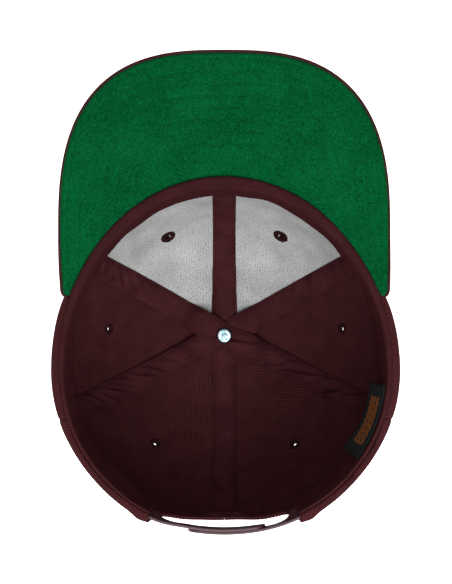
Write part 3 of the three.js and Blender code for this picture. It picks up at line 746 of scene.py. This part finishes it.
def pucker_height(name, along, across):
    chance = random.Random(name)
    height = np.zeros_like(along)
    for start, stop, count, size, slant in PUCKERS[name]:
        for k in range(count):
            middle = mix(start, stop, (k + 0.5 + chance.uniform(-0.3, 0.3)) / count)
            lean = slant * chance.uniform(0.6, 1.4)
            offset = chance.uniform(-2.5, 2.5)
            wide = chance.uniform(0.9, 1.6) * math.hypot(1, lean)
            ridge = np.exp(-(((along - middle - lean * across) / wide) ** 2))
            ridge -= 0.6 * np.exp(-(((along - middle - 2.4 * wide - lean * across) / wide) ** 2))
            height += size * chance.uniform(0.5, 1.2) * ridge * np.exp(-(((across - offset) / 5.5) ** 2))
    return height


def tape_depth(name, tape, along, across, bearing, distance):
    base = tape_base(bearing, distance, tape["level"]) + dents(bearing, distance)
    s = np.abs(across)
    full = -0.45 + 0.95 * (1 - smooth(s, 3.0, 6.9)) - 0.28 * np.exp(-(((s - TAPE_ROW) / 0.5) ** 2))
    inner = 1 - smooth(s, 4.4, 6.2) * 0.75
    welt = 0.4 * np.exp(-(((across - 4.4 * WELTS[name]) / 0.9) ** 2))
    welt *= smooth(along, 10, 30) * (WELTS[name] != 0)
    return base + full + welt + pucker_height(name, along, across) * inner


# %% Make the tapes
tape_threads = bmesh.new()
for name, tape in TAPES.items():
    reach = [float(to_rim(end)) - clear for end, clear in zip(tape["ends"], tape["clears"])]
    bm = thicken(flat_sheet(int(sum(reach)), 22))
    u, v, w = corners(bm)
    along, across = mix(-reach[0], reach[1], u), mix(-TAPE_HALF, TAPE_HALF, v)
    bearing, distance = tape_place(tape, along, across)
    distance = np.maximum(distance, 0.01)
    middle = tape_depth(name, tape, along, across, bearing, distance)
    thick = 0.8 - 0.5 * smooth(np.abs(across), 5.5, TAPE_HALF)
    lay(bm, crown(bearing, distance, middle + thick * w), on_bias(along, across))
    keep(bm, name + "_cloth", taping, [name])
    for edge in (-TAPE_ROW, TAPE_ROW):
        line = np.arange(-reach[0] + 2, reach[1] - 2, 0.5)
        bearing, distance = tape_place(tape, line, np.full_like(line, edge))
        depth = tape_depth(name, tape, line, np.full_like(line, edge), bearing, distance) + 0.78
        points = crown(bearing, distance, depth)
        ups = crown(bearing, distance, depth + 1) - points
        thread_row(tape_threads, points, ups)
keep(tape_threads, "tape_stitches", dark_thread)

# %% [markdown]
# ## The sweatband
# A strip of the same twill goes round the rim. Its top is folded into a soft roll that lies on the
# rim, with a row of stitches, and the rest hangs down inside. A tube could be swept along a curve.
# Here the section is a list of points at each bearing, so the roll can be narrow at the sides and
# stand off the rim at the back, as the photograph shows.

# %% Band section
BAND_END = float(back_bearing(ARCH_HALF + 1.0))
BAND_HEIGHT = 30.0


def band_fold(bearing):
    return CLOTH + 1.8 + GAP + by_bearing(1.5, 0.3, 1.8, bearing) + 1.2


def band_lean(bearing):
    """How far the lower edge leans in. Towards its ends the band is held back by the tabs."""
    return by_bearing(2.6, 2.4, 6.5, bearing) * mix(0.45, 1, smooth(BAND_END - np.abs(bearing), 1, 12))


def band_section(bearing):
    """Points round the band's section: how far inwards and how far above the rim."""
    inset, fold, lean = band_inset(bearing), band_fold(bearing), band_lean(bearing)
    wave = np.array([noise.noise(Vector((b * 0.09, 3.7, 0))) for b in bearing])
    ripple = np.array([noise.noise(Vector((b * 0.25, 8.1, 0))) for b in bearing])
    ripple = 1.1 * ripple * smooth(np.abs(bearing), 60, 110)
    fold = fold + 0.35 * wave

    def face(share):
        """How far inwards the hanging face is, at a share of the band's height."""
        return fold + lean * share + (0.9 * wave + ripple) * share

    roll = [(0.10, 0.35), (0.0, 0.8), (0.06, 1.3), (0.2, 1.72), (0.36, 1.86), (0.48, 1.70), (0.52, 1.70),
            (0.64, 1.9), (0.8, 1.82), (0.93, 1.4), (1.0, 0.75)]
    points = [(inset + (fold - inset) * share, above + 0.2 * wave) for share, above in roll]
    points += [(fold - 0.5, 0.0), (fold - 0.8, -0.7)]
    points += [(face(below / BAND_HEIGHT), -below) for below in np.linspace(1.8, BAND_HEIGHT, 16)]
    low = points[-1][0]
    points += [(low - 0.35, -BAND_HEIGHT - 0.35), (low - 0.9, -BAND_HEIGHT - 0.2)]
    points += [(face(share) - 1.2, -BAND_HEIGHT * share) for share in (0.95, 0.6, 0.3, 0.04)]
    points += [(fold - 1.3, 0.25), points[0]]
    return np.array([[inwards, np.broadcast_to(above, fold.shape)] for inwards, above in points])


# %% Make the band
def make_band():
    sections = band_section(np.array([0.0, 1.0])).shape[0]
    bm = flat_sheet(400, sections - 1)
    u, v, w = corners(bm)
    bearing = mix(-BAND_END, BAND_END, u)
    rows = np.rint(v * (sections - 1)).astype(int)
    table = band_section(bearing)
    inwards, above = table[rows, 0, np.arange(len(u))], table[rows, 1, np.arange(len(u))]
    from_end = (BAND_END - np.abs(bearing)) * np.pi / 180 * rim_radius(bearing)
    share = np.sqrt(np.clip(1 - np.clip(1 - from_end / 2.2, 0, 1) ** 2, 0.02, 1))
    middle = band_fold(bearing) - 0.6 + band_lean(bearing) * np.clip(-above, 0, 30) / 30
    middle = np.where(above > 0, (band_inset(bearing) + band_fold(bearing)) / 2, middle)
    inwards = mix(middle, inwards, share)
    above = np.where(above > 0, mix(0.8, above, share), above)
    points = rim_point(bearing, inwards, above)
    lay(bm, points, on_bias(np.radians(bearing) * 95, inwards - above))
    close_loft(bm)
    keep(bm, "sweatband_twill", banding, ["sweatband"])

    threads = bmesh.new()
    bearing = np.linspace(-BAND_END + 1.5, BAND_END - 1.5, 900)
    table = band_section(bearing)
    points = rim_point(bearing, (table[5, 0] + table[6, 0]) / 2, table[5, 1] + 0.08)
    thread_row(threads, points, np.tile([0, 0, 1.0], (900, 1)), 2.7, 2.3, 0.5)
    keep(threads, "sweatband_stitches", maroon_thread)


make_band()

# %% [markdown]
# ## The label
# A dark woven label is sewn to the band. Its pattern is a plain woven ornament, made with a few
# Math nodes from the label's own coordinates, so it holds no lettering.

# %% Label material
label_cloth, tree, shader = new_material("woven_label", (0.012, 0.013, 0.014), 0.9, Specular_IOR_Level=0.05)
place = cloth_place(tree)
parts = put(tree, "ShaderNodeSeparateXYZ", {0: place})
length, width = parts.outputs[0], parts.outputs[1]


def between(value, low, high):
    """1 where value lies between low and high, else 0."""
    above, below = sum_up(tree, "GREATER_THAN", value, low), sum_up(tree, "LESS_THAN", value, high)
    return sum_up(tree, "MULTIPLY", above, below)


zigzag = sum_up(tree, "PINGPONG", length, 2.0)
diamond = sum_up(tree, "ADD", sum_up(tree, "ABSOLUTE", sum_up(tree, "SUBTRACT", sum_up(
    tree, "PINGPONG", length, 3.0), 1.5)), sum_up(tree, "ABSOLUTE", sum_up(tree, "SUBTRACT", width, 13.0)))
chevrons = [between(sum_up(tree, "MULTIPLY_ADD", zigzag, slope, width), low, low + 0.9)
            for slope, low in ((-1.0, 7.9), (-1.0, 6.2), (-1.0, 4.6), (1.0, 17.2), (1.0, 18.9), (1.0, 20.6))]
pattern = between(diamond, 1.2, 2.3)
for line in chevrons:
    pattern = sum_up(tree, "MAXIMUM", pattern, line)
pattern = sum_up(tree, "MULTIPLY", pattern, between(length, 8.0, 38.5))
threads = put(tree, "ShaderNodeTexWave", {"Vector": place, "Scale": 0.55, "Distortion": 0.6},
              bands_direction="Y")
broken = sum_up(tree, "MULTIPLY", pattern, sum_up(tree, "MULTIPLY_ADD", threads.outputs["Fac"], 0.4, 0.6))
two_tones(tree, shader, broken, (0.011, 0.013, 0.014), (0.30, 0.085, 0.012))
bumped(tree, shader, sum_up(tree, "MULTIPLY_ADD", threads.outputs["Fac"], 0.4, broken), 0.6, 0.0002)


# %% Make the label
LABEL_BEARING, LABEL_LENGTH, LABEL_HEIGHT = 119, 46, 27


def label_point(u, v, lift):
    """A place on the label, from 0 to 1 along and down it, and lifted off the band."""
    span = np.degrees(LABEL_LENGTH / 2 / float(rim_radius(LABEL_BEARING)))
    bearing, below = LABEL_BEARING + mix(-span, span, u), 1 + LABEL_HEIGHT * v
    lean = 3.2 + 0.35 * np.sin(u * 9)
    inwards = band_fold(bearing) + band_lean(bearing) * below / BAND_HEIGHT + lean * v + lift
    return rim_point(bearing, inwards, -below)


def make_label():
    bm = thicken(flat_sheet(46, 26))
    u, v, w = corners(bm)
    lay(bm, label_point(u, v, 0.5 + 0.5 * w), [u * LABEL_LENGTH, v * LABEL_HEIGHT])
    keep(bm, "label_woven", label_cloth, ["label"])

    threads = bmesh.new()
    down = np.linspace(0.04, 0.96, 60)
    for edge in (np.full(60, 0.025), np.full(60, 0.975)):
        points = label_point(edge, down, 1.05)
        thread_row(threads, points, label_point(edge, down, 2.05) - points, 2.4, 1.6, 0.4)
    keep(threads, "label_stitches", dark_thread)


make_label()

# %% [markdown]
# ## The visor
# A stiff board covered with twill, which turns round its edge and meets the green felt underneath.
# The outline could be drawn as a curve. Here it is the same squared-off oval as in the CAD: a
# round end beside the seam, then a superellipse to the tip.

# %% Outline of the visor
TIP = RIM["front"] + 70.0
SEAM_END = 75.4


def curved(start, middle, end):
    """A quadratic curve of sixty points."""
    turn = np.linspace(0, 1, 60)[:, None]
    return (1 - turn) ** 2 * start + 2 * turn * (1 - turn) * middle + turn**2 * end


def visor_outline(count=800):
    end = crown(SEAM_END, to_rim(SEAM_END), -GAP)
    side = end[0] + 4.4
    wide = np.array([side + 1.2, end[1] + 33.7])
    corner = curved(end[:2], [side, end[1]], [side, end[1] + 7])
    flank = curved([side, end[1] + 7], [wide[0], (end[1] + 7 + wide[1]) / 2], wide)
    angle = np.linspace(0, np.pi / 2, 500)
    size = (np.cos(angle) ** 2.78 + np.sin(angle) ** 2.78) ** (-1 / 2.78)
    bow = np.stack([wide[0] * size * np.cos(angle), wide[1] + (TIP - wide[1]) * size * np.sin(angle)], axis=-1)
    path = np.concatenate([corner, flank[1:], bow[1:]])
    line = lengths_along(path)
    knots = np.interp(np.linspace(0, 16, count), np.arange(17),
                      np.concatenate([[2.5], np.linspace(6.5, line[-1], 16)]))
    return at_length(knots, line, path)


OUTLINE = visor_outline()


def visor_height(x, y):
    end = rim_point(SEAM_END, 0, 0)
    lean = math.tan(math.radians(6))
    bend = lean * (RIM["front"] - end[1]) / end[0] ** 2
    return HEIGHT - 0.6 + lean * (y - RIM["front"]) + bend * x**2


def visor_point(turn, share, inset, depth):
    """turn goes from -1 to 1 round the seam, share from the seam to the edge."""
    turn, share, inset, depth = np.broadcast_arrays(turn, share, inset, depth)
    bearing = turn * SEAM_END
    rim = rim_point(bearing, 0, 0)
    index = (1 - np.abs(turn)) * (len(OUTLINE) - 1)
    edge = at_length(index, np.arange(len(OUTLINE)), OUTLINE)
    edge[:, 0] *= np.where(turn < 0, -1, 1)
    radius = np.linalg.norm(rim[:, :2], axis=-1) - 0.8
    seam = rim[:, :2] / np.linalg.norm(rim[:, :2], axis=-1, keepdims=True) * radius[:, None]
    reach = share * (1 - inset / np.linalg.norm(edge - seam, axis=-1))
    flat = mix(seam, edge, reach[:, None])
    return np.column_stack([flat, visor_height(flat[:, 0], flat[:, 1]) - depth])


def inset_of(points):
    """Distance of each point from the visor's outline, in plan."""
    edge = np.concatenate([OUTLINE[::4] * [-1, 1], OUTLINE[::4]])
    return np.array([np.sqrt(((edge - point[:2]) ** 2).sum(axis=1).min()) for point in points])


FIRST_ROW, ROW_PITCH, ROW_COUNT = 5.2, 6.6, 8


def quilting(points, deep):
    """The dips that the rows of stitches pull into the visor's cloth."""
    inset = inset_of(points) - FIRST_ROW
    row = np.rint(inset / ROW_PITCH)
    dip = np.exp(-(((inset - row * ROW_PITCH) / 0.8) ** 2))
    return deep * dip * (row >= 0) * (row < ROW_COUNT)


# %% Visor materials
felt, tree, shader = new_material("green_felt", (0.003, 0.08, 0.024), 1.0, Specular_IOR_Level=0.0,
                                  Sheen_Weight=0.02, Sheen_Roughness=0.5)
where = object_place(tree)
fibre = speckle(tree, where, 1400.0, 3.0, 1.5)
flecks = speckle(tree, where, 760.0, 2.0, 2.5)
cloudy = speckle(tree, where, 45.0, 3.0)
level = sum_up(tree, "MULTIPLY_ADD", fibre, 0.3, sum_up(tree, "MULTIPLY", cloudy, 0.15))
level = sum_up(tree, "MULTIPLY_ADD", flecks, 0.55, level)
ramp = ranged(tree, level, From_Min=0.39, From_Max=0.61)
two_tones(tree, shader, ramp, (0.0001, 0.022, 0.0055), (0.0016, 0.094, 0.0245))
bumped(tree, shader, level, 0.7, 0.0006)


# %% Make the visor
def make_cover():
    shares = np.linspace(0, 1, 45)
    loop = [(share, 3.4, 1.7) for share in shares]
    loop += [(1.0, 1.7 + 1.7 * math.cos(a), (1.7 if a < 1.6 else 1.0) * (1 - math.sin(a)))
             for a in np.linspace(0, math.pi, 13)[1:]]
    loop += [(1.0, 0.0, 1.2), (1.0, 0.25, 1.45), (1.0, 0.9, 1.6)]
    loop += [(share, 1.3, 1.6) for share in np.linspace(0.97, 0, 12)]
    loop += [loop[0]]
    loop = np.array(loop)
    bm = flat_sheet(240, len(loop) - 1)
    u, v, w = corners(bm)
    rows = np.rint(v * (len(loop) - 1)).astype(int)
    share, depth, inset = loop[rows].T
    points = visor_point(mix(-1, 1, u), share, inset, depth)
    outer = (rows < len(shares)) & (share < 0.99)
    points[outer, 2] += quilting(points[outer], 0.3)
    lay(bm, points, on_bias(points[:, 0], points[:, 1]))
    close_loft(bm)
    keep(bm, "visor_cover_twill", cotton, ["visor_cover"])


def make_underside():
    bm = thicken(flat_sheet(240, 90))
    u, v, w = corners(bm)
    turn = mix(-0.985, 0.985, u)
    points = visor_point(turn, v, 1.4, 1.0)
    inset = inset_of(points)
    pad = 1.0 * smooth(inset, 1.3, 2.8) + 0.15
    points[:, 2] += w * (pad - quilting(points, 0.35))
    lay(bm, points, [points[:, 0], points[:, 1]])
    keep(bm, "visor_underside_felt", felt, ["visor_underside"])


make_cover()
make_underside()


# %% Rows of stitches on the visor
def visor_rows():
    """Lines parallel to the visor's outline, each as points in plan, where they clear the seam."""
    edge = np.concatenate([OUTLINE * [-1, 1], OUTLINE[::-1][1:]])
    along = np.gradient(edge, axis=0)
    normal = np.stack([along[:, 1], -along[:, 0]], axis=-1)
    normal /= np.linalg.norm(normal, axis=-1, keepdims=True)
    for row in range(ROW_COUNT):
        inset = FIRST_ROW + row * ROW_PITCH
        line = edge + normal * inset
        clear = np.hypot(*line.T) > rim_radius(np.degrees(np.arctan2(line[:, 0], line[:, 1]))) + 3
        honest = inset_of(line) > inset - 0.3
        yield line[clear & honest]


green_rows, maroon_rows = bmesh.new(), bmesh.new()
for line in visor_rows():
    if len(line) < 20:
        continue
    heights = visor_height(line[:, 0], line[:, 1])
    up = np.tile([0, 0, 1.0], (len(line), 1))
    thread_row(green_rows, np.column_stack([line, heights - 0.12]), up, 2.9, 2.0, 0.5)
    thread_row(maroon_rows, np.column_stack([line, heights - 3.2]), -up, 2.9, 2.2, 0.6)
keep(green_rows, "visor_stitches_under", green_thread)
keep(maroon_rows, "visor_stitches_outer", maroon_thread)

# %% [markdown]
# ## The edge of the half-moon
# A tape is bound round the opening at the back, on the inside, with two rows of stitches that also
# show outside. It follows the same ellipse as the cut.

# %% Arch binding
def arch_point(angle, outwards, depth):
    across, up = ARCH_HALF * np.cos(angle), ARCH_HEIGHT * np.sin(angle)
    normal = np.stack([np.cos(angle) / ARCH_HALF, np.sin(angle) / ARCH_HEIGHT], axis=-1)
    normal /= np.linalg.norm(normal, axis=-1, keepdims=True)
    return back_point(across + normal[:, 0] * outwards, up + normal[:, 1] * outwards, depth)


def arch_rise(angle, outwards):
    """The dents of the wall behind the binding, and its rise where it crosses the seam tape."""
    across, up = ARCH_HALF * np.cos(angle), ARCH_HEIGHT * np.sin(angle) + outwards
    follow = dents(back_bearing(across), to_rim(back_bearing(across)) - up)
    return follow, (1 - smooth(np.abs(across), 7, 11)) * smooth(outwards, 2.5, 5.5)


def make_binding():
    bm = thicken(flat_sheet(150, 14))
    u, v, w = corners(bm)
    start = math.asin(23.0 / ARCH_HEIGHT)
    angle = mix(start, math.pi - start, u)
    outwards = v * 9
    s = np.abs(outwards - 4.5)
    full = 0.55 * (1 - smooth(s, 1.8, 4.4)) - 0.2 * np.exp(-(((s - 3.2) / 0.4) ** 2))
    follow, raised = arch_rise(angle, outwards)
    depth = CLOTH + 0.05 + raised + follow + (0.6 + full) * w
    lay(bm, arch_point(angle, outwards, depth), [angle * 45, (outwards - 4.5) * 1.5])
    keep(bm, "arch_binding_cloth", taping, ["arch_binding"])

    threads, outer = bmesh.new(), bmesh.new()
    angle = np.linspace(start + 0.05, math.pi - start - 0.05, 400)
    for outwards in (1.3, 7.7):
        follow, raised = arch_rise(angle, outwards)
        points = arch_point(angle, outwards, CLOTH + 0.62 + follow + raised)
        ups = arch_point(angle, outwards, CLOTH + 1.66 + follow + raised) - points
        thread_row(threads, points, ups)
        points = arch_point(angle, outwards, follow - 0.05)
        thread_row(outer, points, points - arch_point(angle, outwards, 1), width=0.55)
    keep(threads, "arch_stitches_inside", dark_thread)
    keep(outer, "arch_stitches_outside", maroon_thread)


make_binding()


# %% Stitches along the seams outside
def seam_stitches():
    threads = bmesh.new()
    for seam in (0, SEAM_FRONT, -SEAM_FRONT, SEAM_BACK, -SEAM_BACK, 180):
        stop = float(to_rim(seam)) - (ARCH_HEIGHT + 4 if seam == 180 else 2)
        distance = np.arange(12, stop, 0.5)
        radius = radius_at(seam, distance)
        for side in (-SEAM_ROW, SEAM_ROW):
            bearing = seam + np.degrees(side / radius)
            depth = dents(bearing, distance) + 0.05
            points = crown(bearing, distance, depth)
            points[:, 2] = np.maximum(points[:, 2], 0.3)
            thread_row(threads, points, points - crown(bearing, distance, depth + 1), width=0.55)
    keep(threads, "seam_stitches_outside", maroon_thread)


seam_stitches()

# %% [markdown]
# ## The stitched eyelets
# Each panel has a small air hole that is worked round with thread. A torus would be too smooth:
# here a turned core (`spin`) lines the hole, and radial threads of uneven length lie over it on
# both faces.

# %% Eyelets
def turned(profile, steps, matrix, unit=MM):
    """Spins a half profile of (radius, height) round the Z axis, and places it."""
    bm = bmesh.new()
    verts = [bm.verts.new((radius * unit, 0, height * unit)) for radius, height in profile]
    edges = [bm.edges.new(pair) for pair in zip(verts, verts[1:])]
    bmesh.ops.spin(bm, geom=verts + edges, cent=(0, 0, 0), axis=(0, 0, 1), steps=steps,
                   angle=2 * math.pi, use_merge=True)
    bmesh.ops.transform(bm, matrix=matrix, verts=bm.verts[:])
    bmesh.ops.remove_doubles(bm, verts=bm.verts[:], dist=0.002 * unit)
    return bm


WALLS = {"front": BACKING, "side": CLOTH, "back": CLOTH}
HOLES = {"front": 1.7, "side": 1.25, "back": 1.15}
REACH = {"front": 2.9, "side": 2.0, "back": 2.0}  # width of the ring of thread
FLARES = {"front": 0.9, "side": 0.0, "back": 0.0}  # how much wider the hole is outside
THREADS = 26


def make_eyelet(part, side, chance):
    around, reach = eyelet_at(part, side)
    lift = float(dents(np.array([around]), np.array([reach]))[0])
    at = settled(crown(around, reach, lift))
    axis = Vector(settled(crown(around, reach, lift + 1)) - at).normalized()
    tilt = Vector((0, 0, 1)).rotation_difference(axis).to_matrix().to_4x4()
    seat = Matrix.Translation(Vector(at) * MM) @ tilt
    wall, hole, flare = WALLS[part], HOLES[part], FLARES[part]
    ring = hole + REACH[part]
    bm = turned([(hole + flare, -0.3), (hole + flare + 0.5, -0.55), (ring - 0.2, -0.35), (ring, -0.1),
                 (ring - 0.1, 0.15), (ring - 0.6, 0.4), (ring - 0.6, wall - 0.4), (ring - 0.1, wall - 0.15),
                 (ring, wall + 0.1), (ring - 0.2, wall + 0.35), (hole + 0.5, wall + 0.55),
                 (hole, wall + 0.3), (hole - 0.1, wall - 0.1), (hole + flare, -0.3)], 28, seat)
    threads = []
    for face, height in ((-1, -0.45), (1, wall + 0.45)):
        for k in range(THREADS):
            turn = (k + chance.uniform(-0.25, 0.25)) / THREADS * 2 * math.pi
            inner = hole + chance.uniform(-0.1, 0.2) + flare * (face < 0)
            outer = ring + chance.uniform(-0.1, 0.7)
            middle = Vector((math.cos(turn), math.sin(turn), 0)) * (inner + outer) / 2
            middle += Vector((0, 0, height))
            threads.append(seat @ Matrix.Translation(middle * MM) @ Matrix.Rotation(turn, 4, "Z")
                           @ Matrix.Rotation(face * chance.uniform(0.02, 0.2), 4, "Y")
                           @ Matrix.Diagonal(((outer - inner) / 2 * MM, 0.3 * MM, 0.28 * MM, 1)))
    add_capsules(bm, threads)
    name = f"eyelet_{part}_{NAMES[side]}"
    keep(bm, name + "_thread", dark_thread, [name])


chance = random.Random(6)
for side in NAMES:
    for part in PANELS:
        make_eyelet(part, side, chance)

# %% [markdown]
# ## Button and rivet
# The button on top is a small cloth-covered dome. Its stem goes through all the layers, and a metal
# rivet holds it inside, the one shiny thing in the picture. Both are turned from a half profile.

# %% Metal material
steel, tree, shader = new_material("rivet_steel", (0.72, 0.82, 0.86), 0.25, Metallic=1.0)
where = object_place(tree)
stretch = put(tree, "ShaderNodeMapping", {"Vector": where, "Rotation": (0, 0, 0.7), "Scale": (160, 900, 160)})
scratch = speckle(tree, stretch.outputs[0], 1.0, 3.0)
tarnish = speckle(tree, where, 260.0, 2.0)
shade = ranged(tree, tarnish, From_Min=0.4, From_Max=0.62)
colour = two_tones(tree, shader, shade, (0.56, 0.65, 0.68), (0.16, 0.29, 0.33))
parts = put(tree, "ShaderNodeSeparateXYZ", {0: where})
flat = put(tree, "ShaderNodeCombineXYZ", {0: parts.outputs[0], 1: parts.outputs[1]})
from_axis = put(tree, "ShaderNodeVectorMath", {0: flat.outputs[0]}, operation="LENGTH").outputs["Value"]
# Painted shade: from 3.7 mm out from its axis the rivet's rim is darkened to near black, where shade falls
# round its edge.
edge = ranged(tree, from_axis, From_Min=0.0037, From_Max=0.0041)
two_tones(tree, shader, edge, colour, (0.05, 0.06, 0.065))
tree.links.new(ranged(tree, scratch, To_Min=0.2, To_Max=0.5), shader.inputs["Roughness"])
bumped(tree, shader, tarnish, 0.5, 0.0012)

# %% Make button and rivet
STACK = BUTTON_THICKNESS + GAP + 1.9 + 1.7 + 2 * 1.7 + 1.0  # height of the top of the crossing tapes


def turned_cloth(bm):
    """A UV map from above, in mm, for a turned piece."""
    layer = bm.loops.layers.uv.new("cloth")
    for face in bm.faces:
        for loop in face.loops:
            loop[layer].uv = (loop.vert.co.x / MM, loop.vert.co.y / MM)


dome = [(0.001, 0.0), (2.5, 0.0), (4.2, 0.08), (5.6, 0.55), (6.6, 1.25), (7.15, 2.1), (7.1, 2.9), (6.6, 3.4),
        (5.6, 3.5), (1.6, 3.5), (1.6, STACK), (0.001, STACK)]
bm = turned(dome, 40, Matrix.Identity(4))
turned_cloth(bm)
keep(bm, "button_twill", cotton, ["button"], sharp=50)

disc = [(0.001, 0.0), (4.2, 0.0), (4.35, 0.5), (4.3, 1.0), (4.05, 1.45), (3.6, 1.72), (2.9, 1.82), (2.4, 1.76),
        (1.6, 1.74), (1.3, 1.86), (0.6, 1.92), (0.001, 1.93)]
keep(turned(disc, 48, Matrix.Translation((0, 0, (STACK + 0.3) * MM))),
     "rivet_disc", steel, ["rivet"], sharp=60)

# %% [markdown]
# ## The two straps
# Moulded plastic strips close the opening: one with pegs, one with holes. Each is modelled flat.
# For a hole, a square of the sheet is deleted and its edge is bridged to a circle. Then the sheet
# is extruded, its edges are bevelled, and it is bent along the rim.

# %% Plastic
plastic, tree, shader = new_material("maroon_plastic", (0.10, 0.045, 0.055), 0.42, Specular_IOR_Level=0.35)
where = object_place(tree)
haze = speckle(tree, where, 140.0, 4.0)
tree.links.new(ranged(tree, haze, To_Min=0.32, To_Max=0.52), shader.inputs["Roughness"])
two_tones(tree, shader, haze, (0.034, 0.0125, 0.0165), (0.056, 0.0225, 0.0280))

STRAP = {"width": 20.0, "thickness": 1.6, "rim_clear": 1.5, "corner": 6.0}


def outer_depth(across):
    share = np.minimum(1, np.abs(across) / ARCH_HALF)
    return 1.9 + 0.8 * (1 - share**2) ** 2


def inner_depth(across):
    return outer_depth(across) + 1.62 * smooth(across, -ARCH_HALF, -20.5)


SNAPS = [18.5 - 8.5 * k for k in range(-2, 5)]
PEG = [(0.001, -1.55), (1.5, -1.5), (1.9, -1.15), (1.85, -0.5), (1.6, 0.3)]


# %% Make the straps
def make_strap(name, sewn, free, depth_at, snaps, holes):
    """A strip of squares of about 1 mm from its sewn end to its free end, flat in x and y, in mm."""
    heading = 1 if free > sewn else -1
    long = abs(free - sewn)
    bm = flat_sheet(int(round(long / 1.0625)), 20)
    pitch = long / round(long / 1.0625)
    bmesh.ops.scale(bm, vec=(long, STRAP["width"], 1), verts=bm.verts[:])
    places = [heading * (snap - sewn) for snap in snaps]
    for middle in places if holes else []:
        centre = Vector((round(middle / pitch) * pitch, 10, 0))
        inside = [face for face in bm.faces if abs(face.calc_center_median().x - centre.x) < 3 * pitch
                  and abs(face.calc_center_median().y - 10) < 3]
        bmesh.ops.delete(bm, geom=inside, context="FACES")
        rim = [edge for edge in bm.edges if edge.is_boundary
               and all((vert.co - centre).length < 5 for vert in edge.verts)]
        ring = bmesh.ops.create_circle(bm, segments=len(rim), radius=2.3, matrix=Matrix.Translation(
            Vector((middle, 10, 0))))["verts"]
        loop = list({edge for vert in ring for edge in vert.link_edges})
        bmesh.ops.bridge_loops(bm, edges=rim + loop)
    x, y, z = corners(bm)
    corner = STRAP["corner"]
    from_free = np.clip(long - x, 0, corner)
    trim = corner - np.sqrt(np.clip(corner**2 - (corner - from_free) ** 2, 0, None))
    y = 10 + (y - 10) * (1 - trim / 10)
    for vert, new in zip(bm.verts, y):
        vert.co.y = new
    bmesh.ops.recalc_face_normals(bm, faces=bm.faces[:])
    thicken(bm, STRAP["thickness"])
    bmesh.ops.recalc_face_normals(bm, faces=bm.faces[:])
    sharp = [edge for edge in bm.edges if edge.is_manifold and edge.calc_face_angle() > 1.2]
    bmesh.ops.bevel(bm, geom=sharp, offset=0.35, offset_type="OFFSET", affect="EDGES", segments=3,
                    profile=0.5, material=-1)
    for middle in [] if holes else places:
        pour(turned(PEG, 20, Matrix.Translation((middle, 10, 0)), unit=1), bm)
    x, y, z = corners(bm)
    across = sewn + heading * x
    up = STRAP["rim_clear"] + y
    tuck = smooth(np.abs(across), 35, 42) * pull(back_bearing(across), to_rim(back_bearing(across)) - up)
    lean = 1.7 * y / STRAP["width"] * (1 - smooth(np.abs(across), 28, 41))
    lay(bm, back_point(across, up, depth_at(across) + tuck - lean + z))
    keep(bm, name + "_plastic", plastic, [name], sharp=50)


make_strap("strap_pegs", -ARCH_HALF - 10, 23.5, inner_depth, SNAPS[2:], False)
make_strap("strap_holes", ARCH_HALF + 10, -20.5, outer_depth, SNAPS, True)
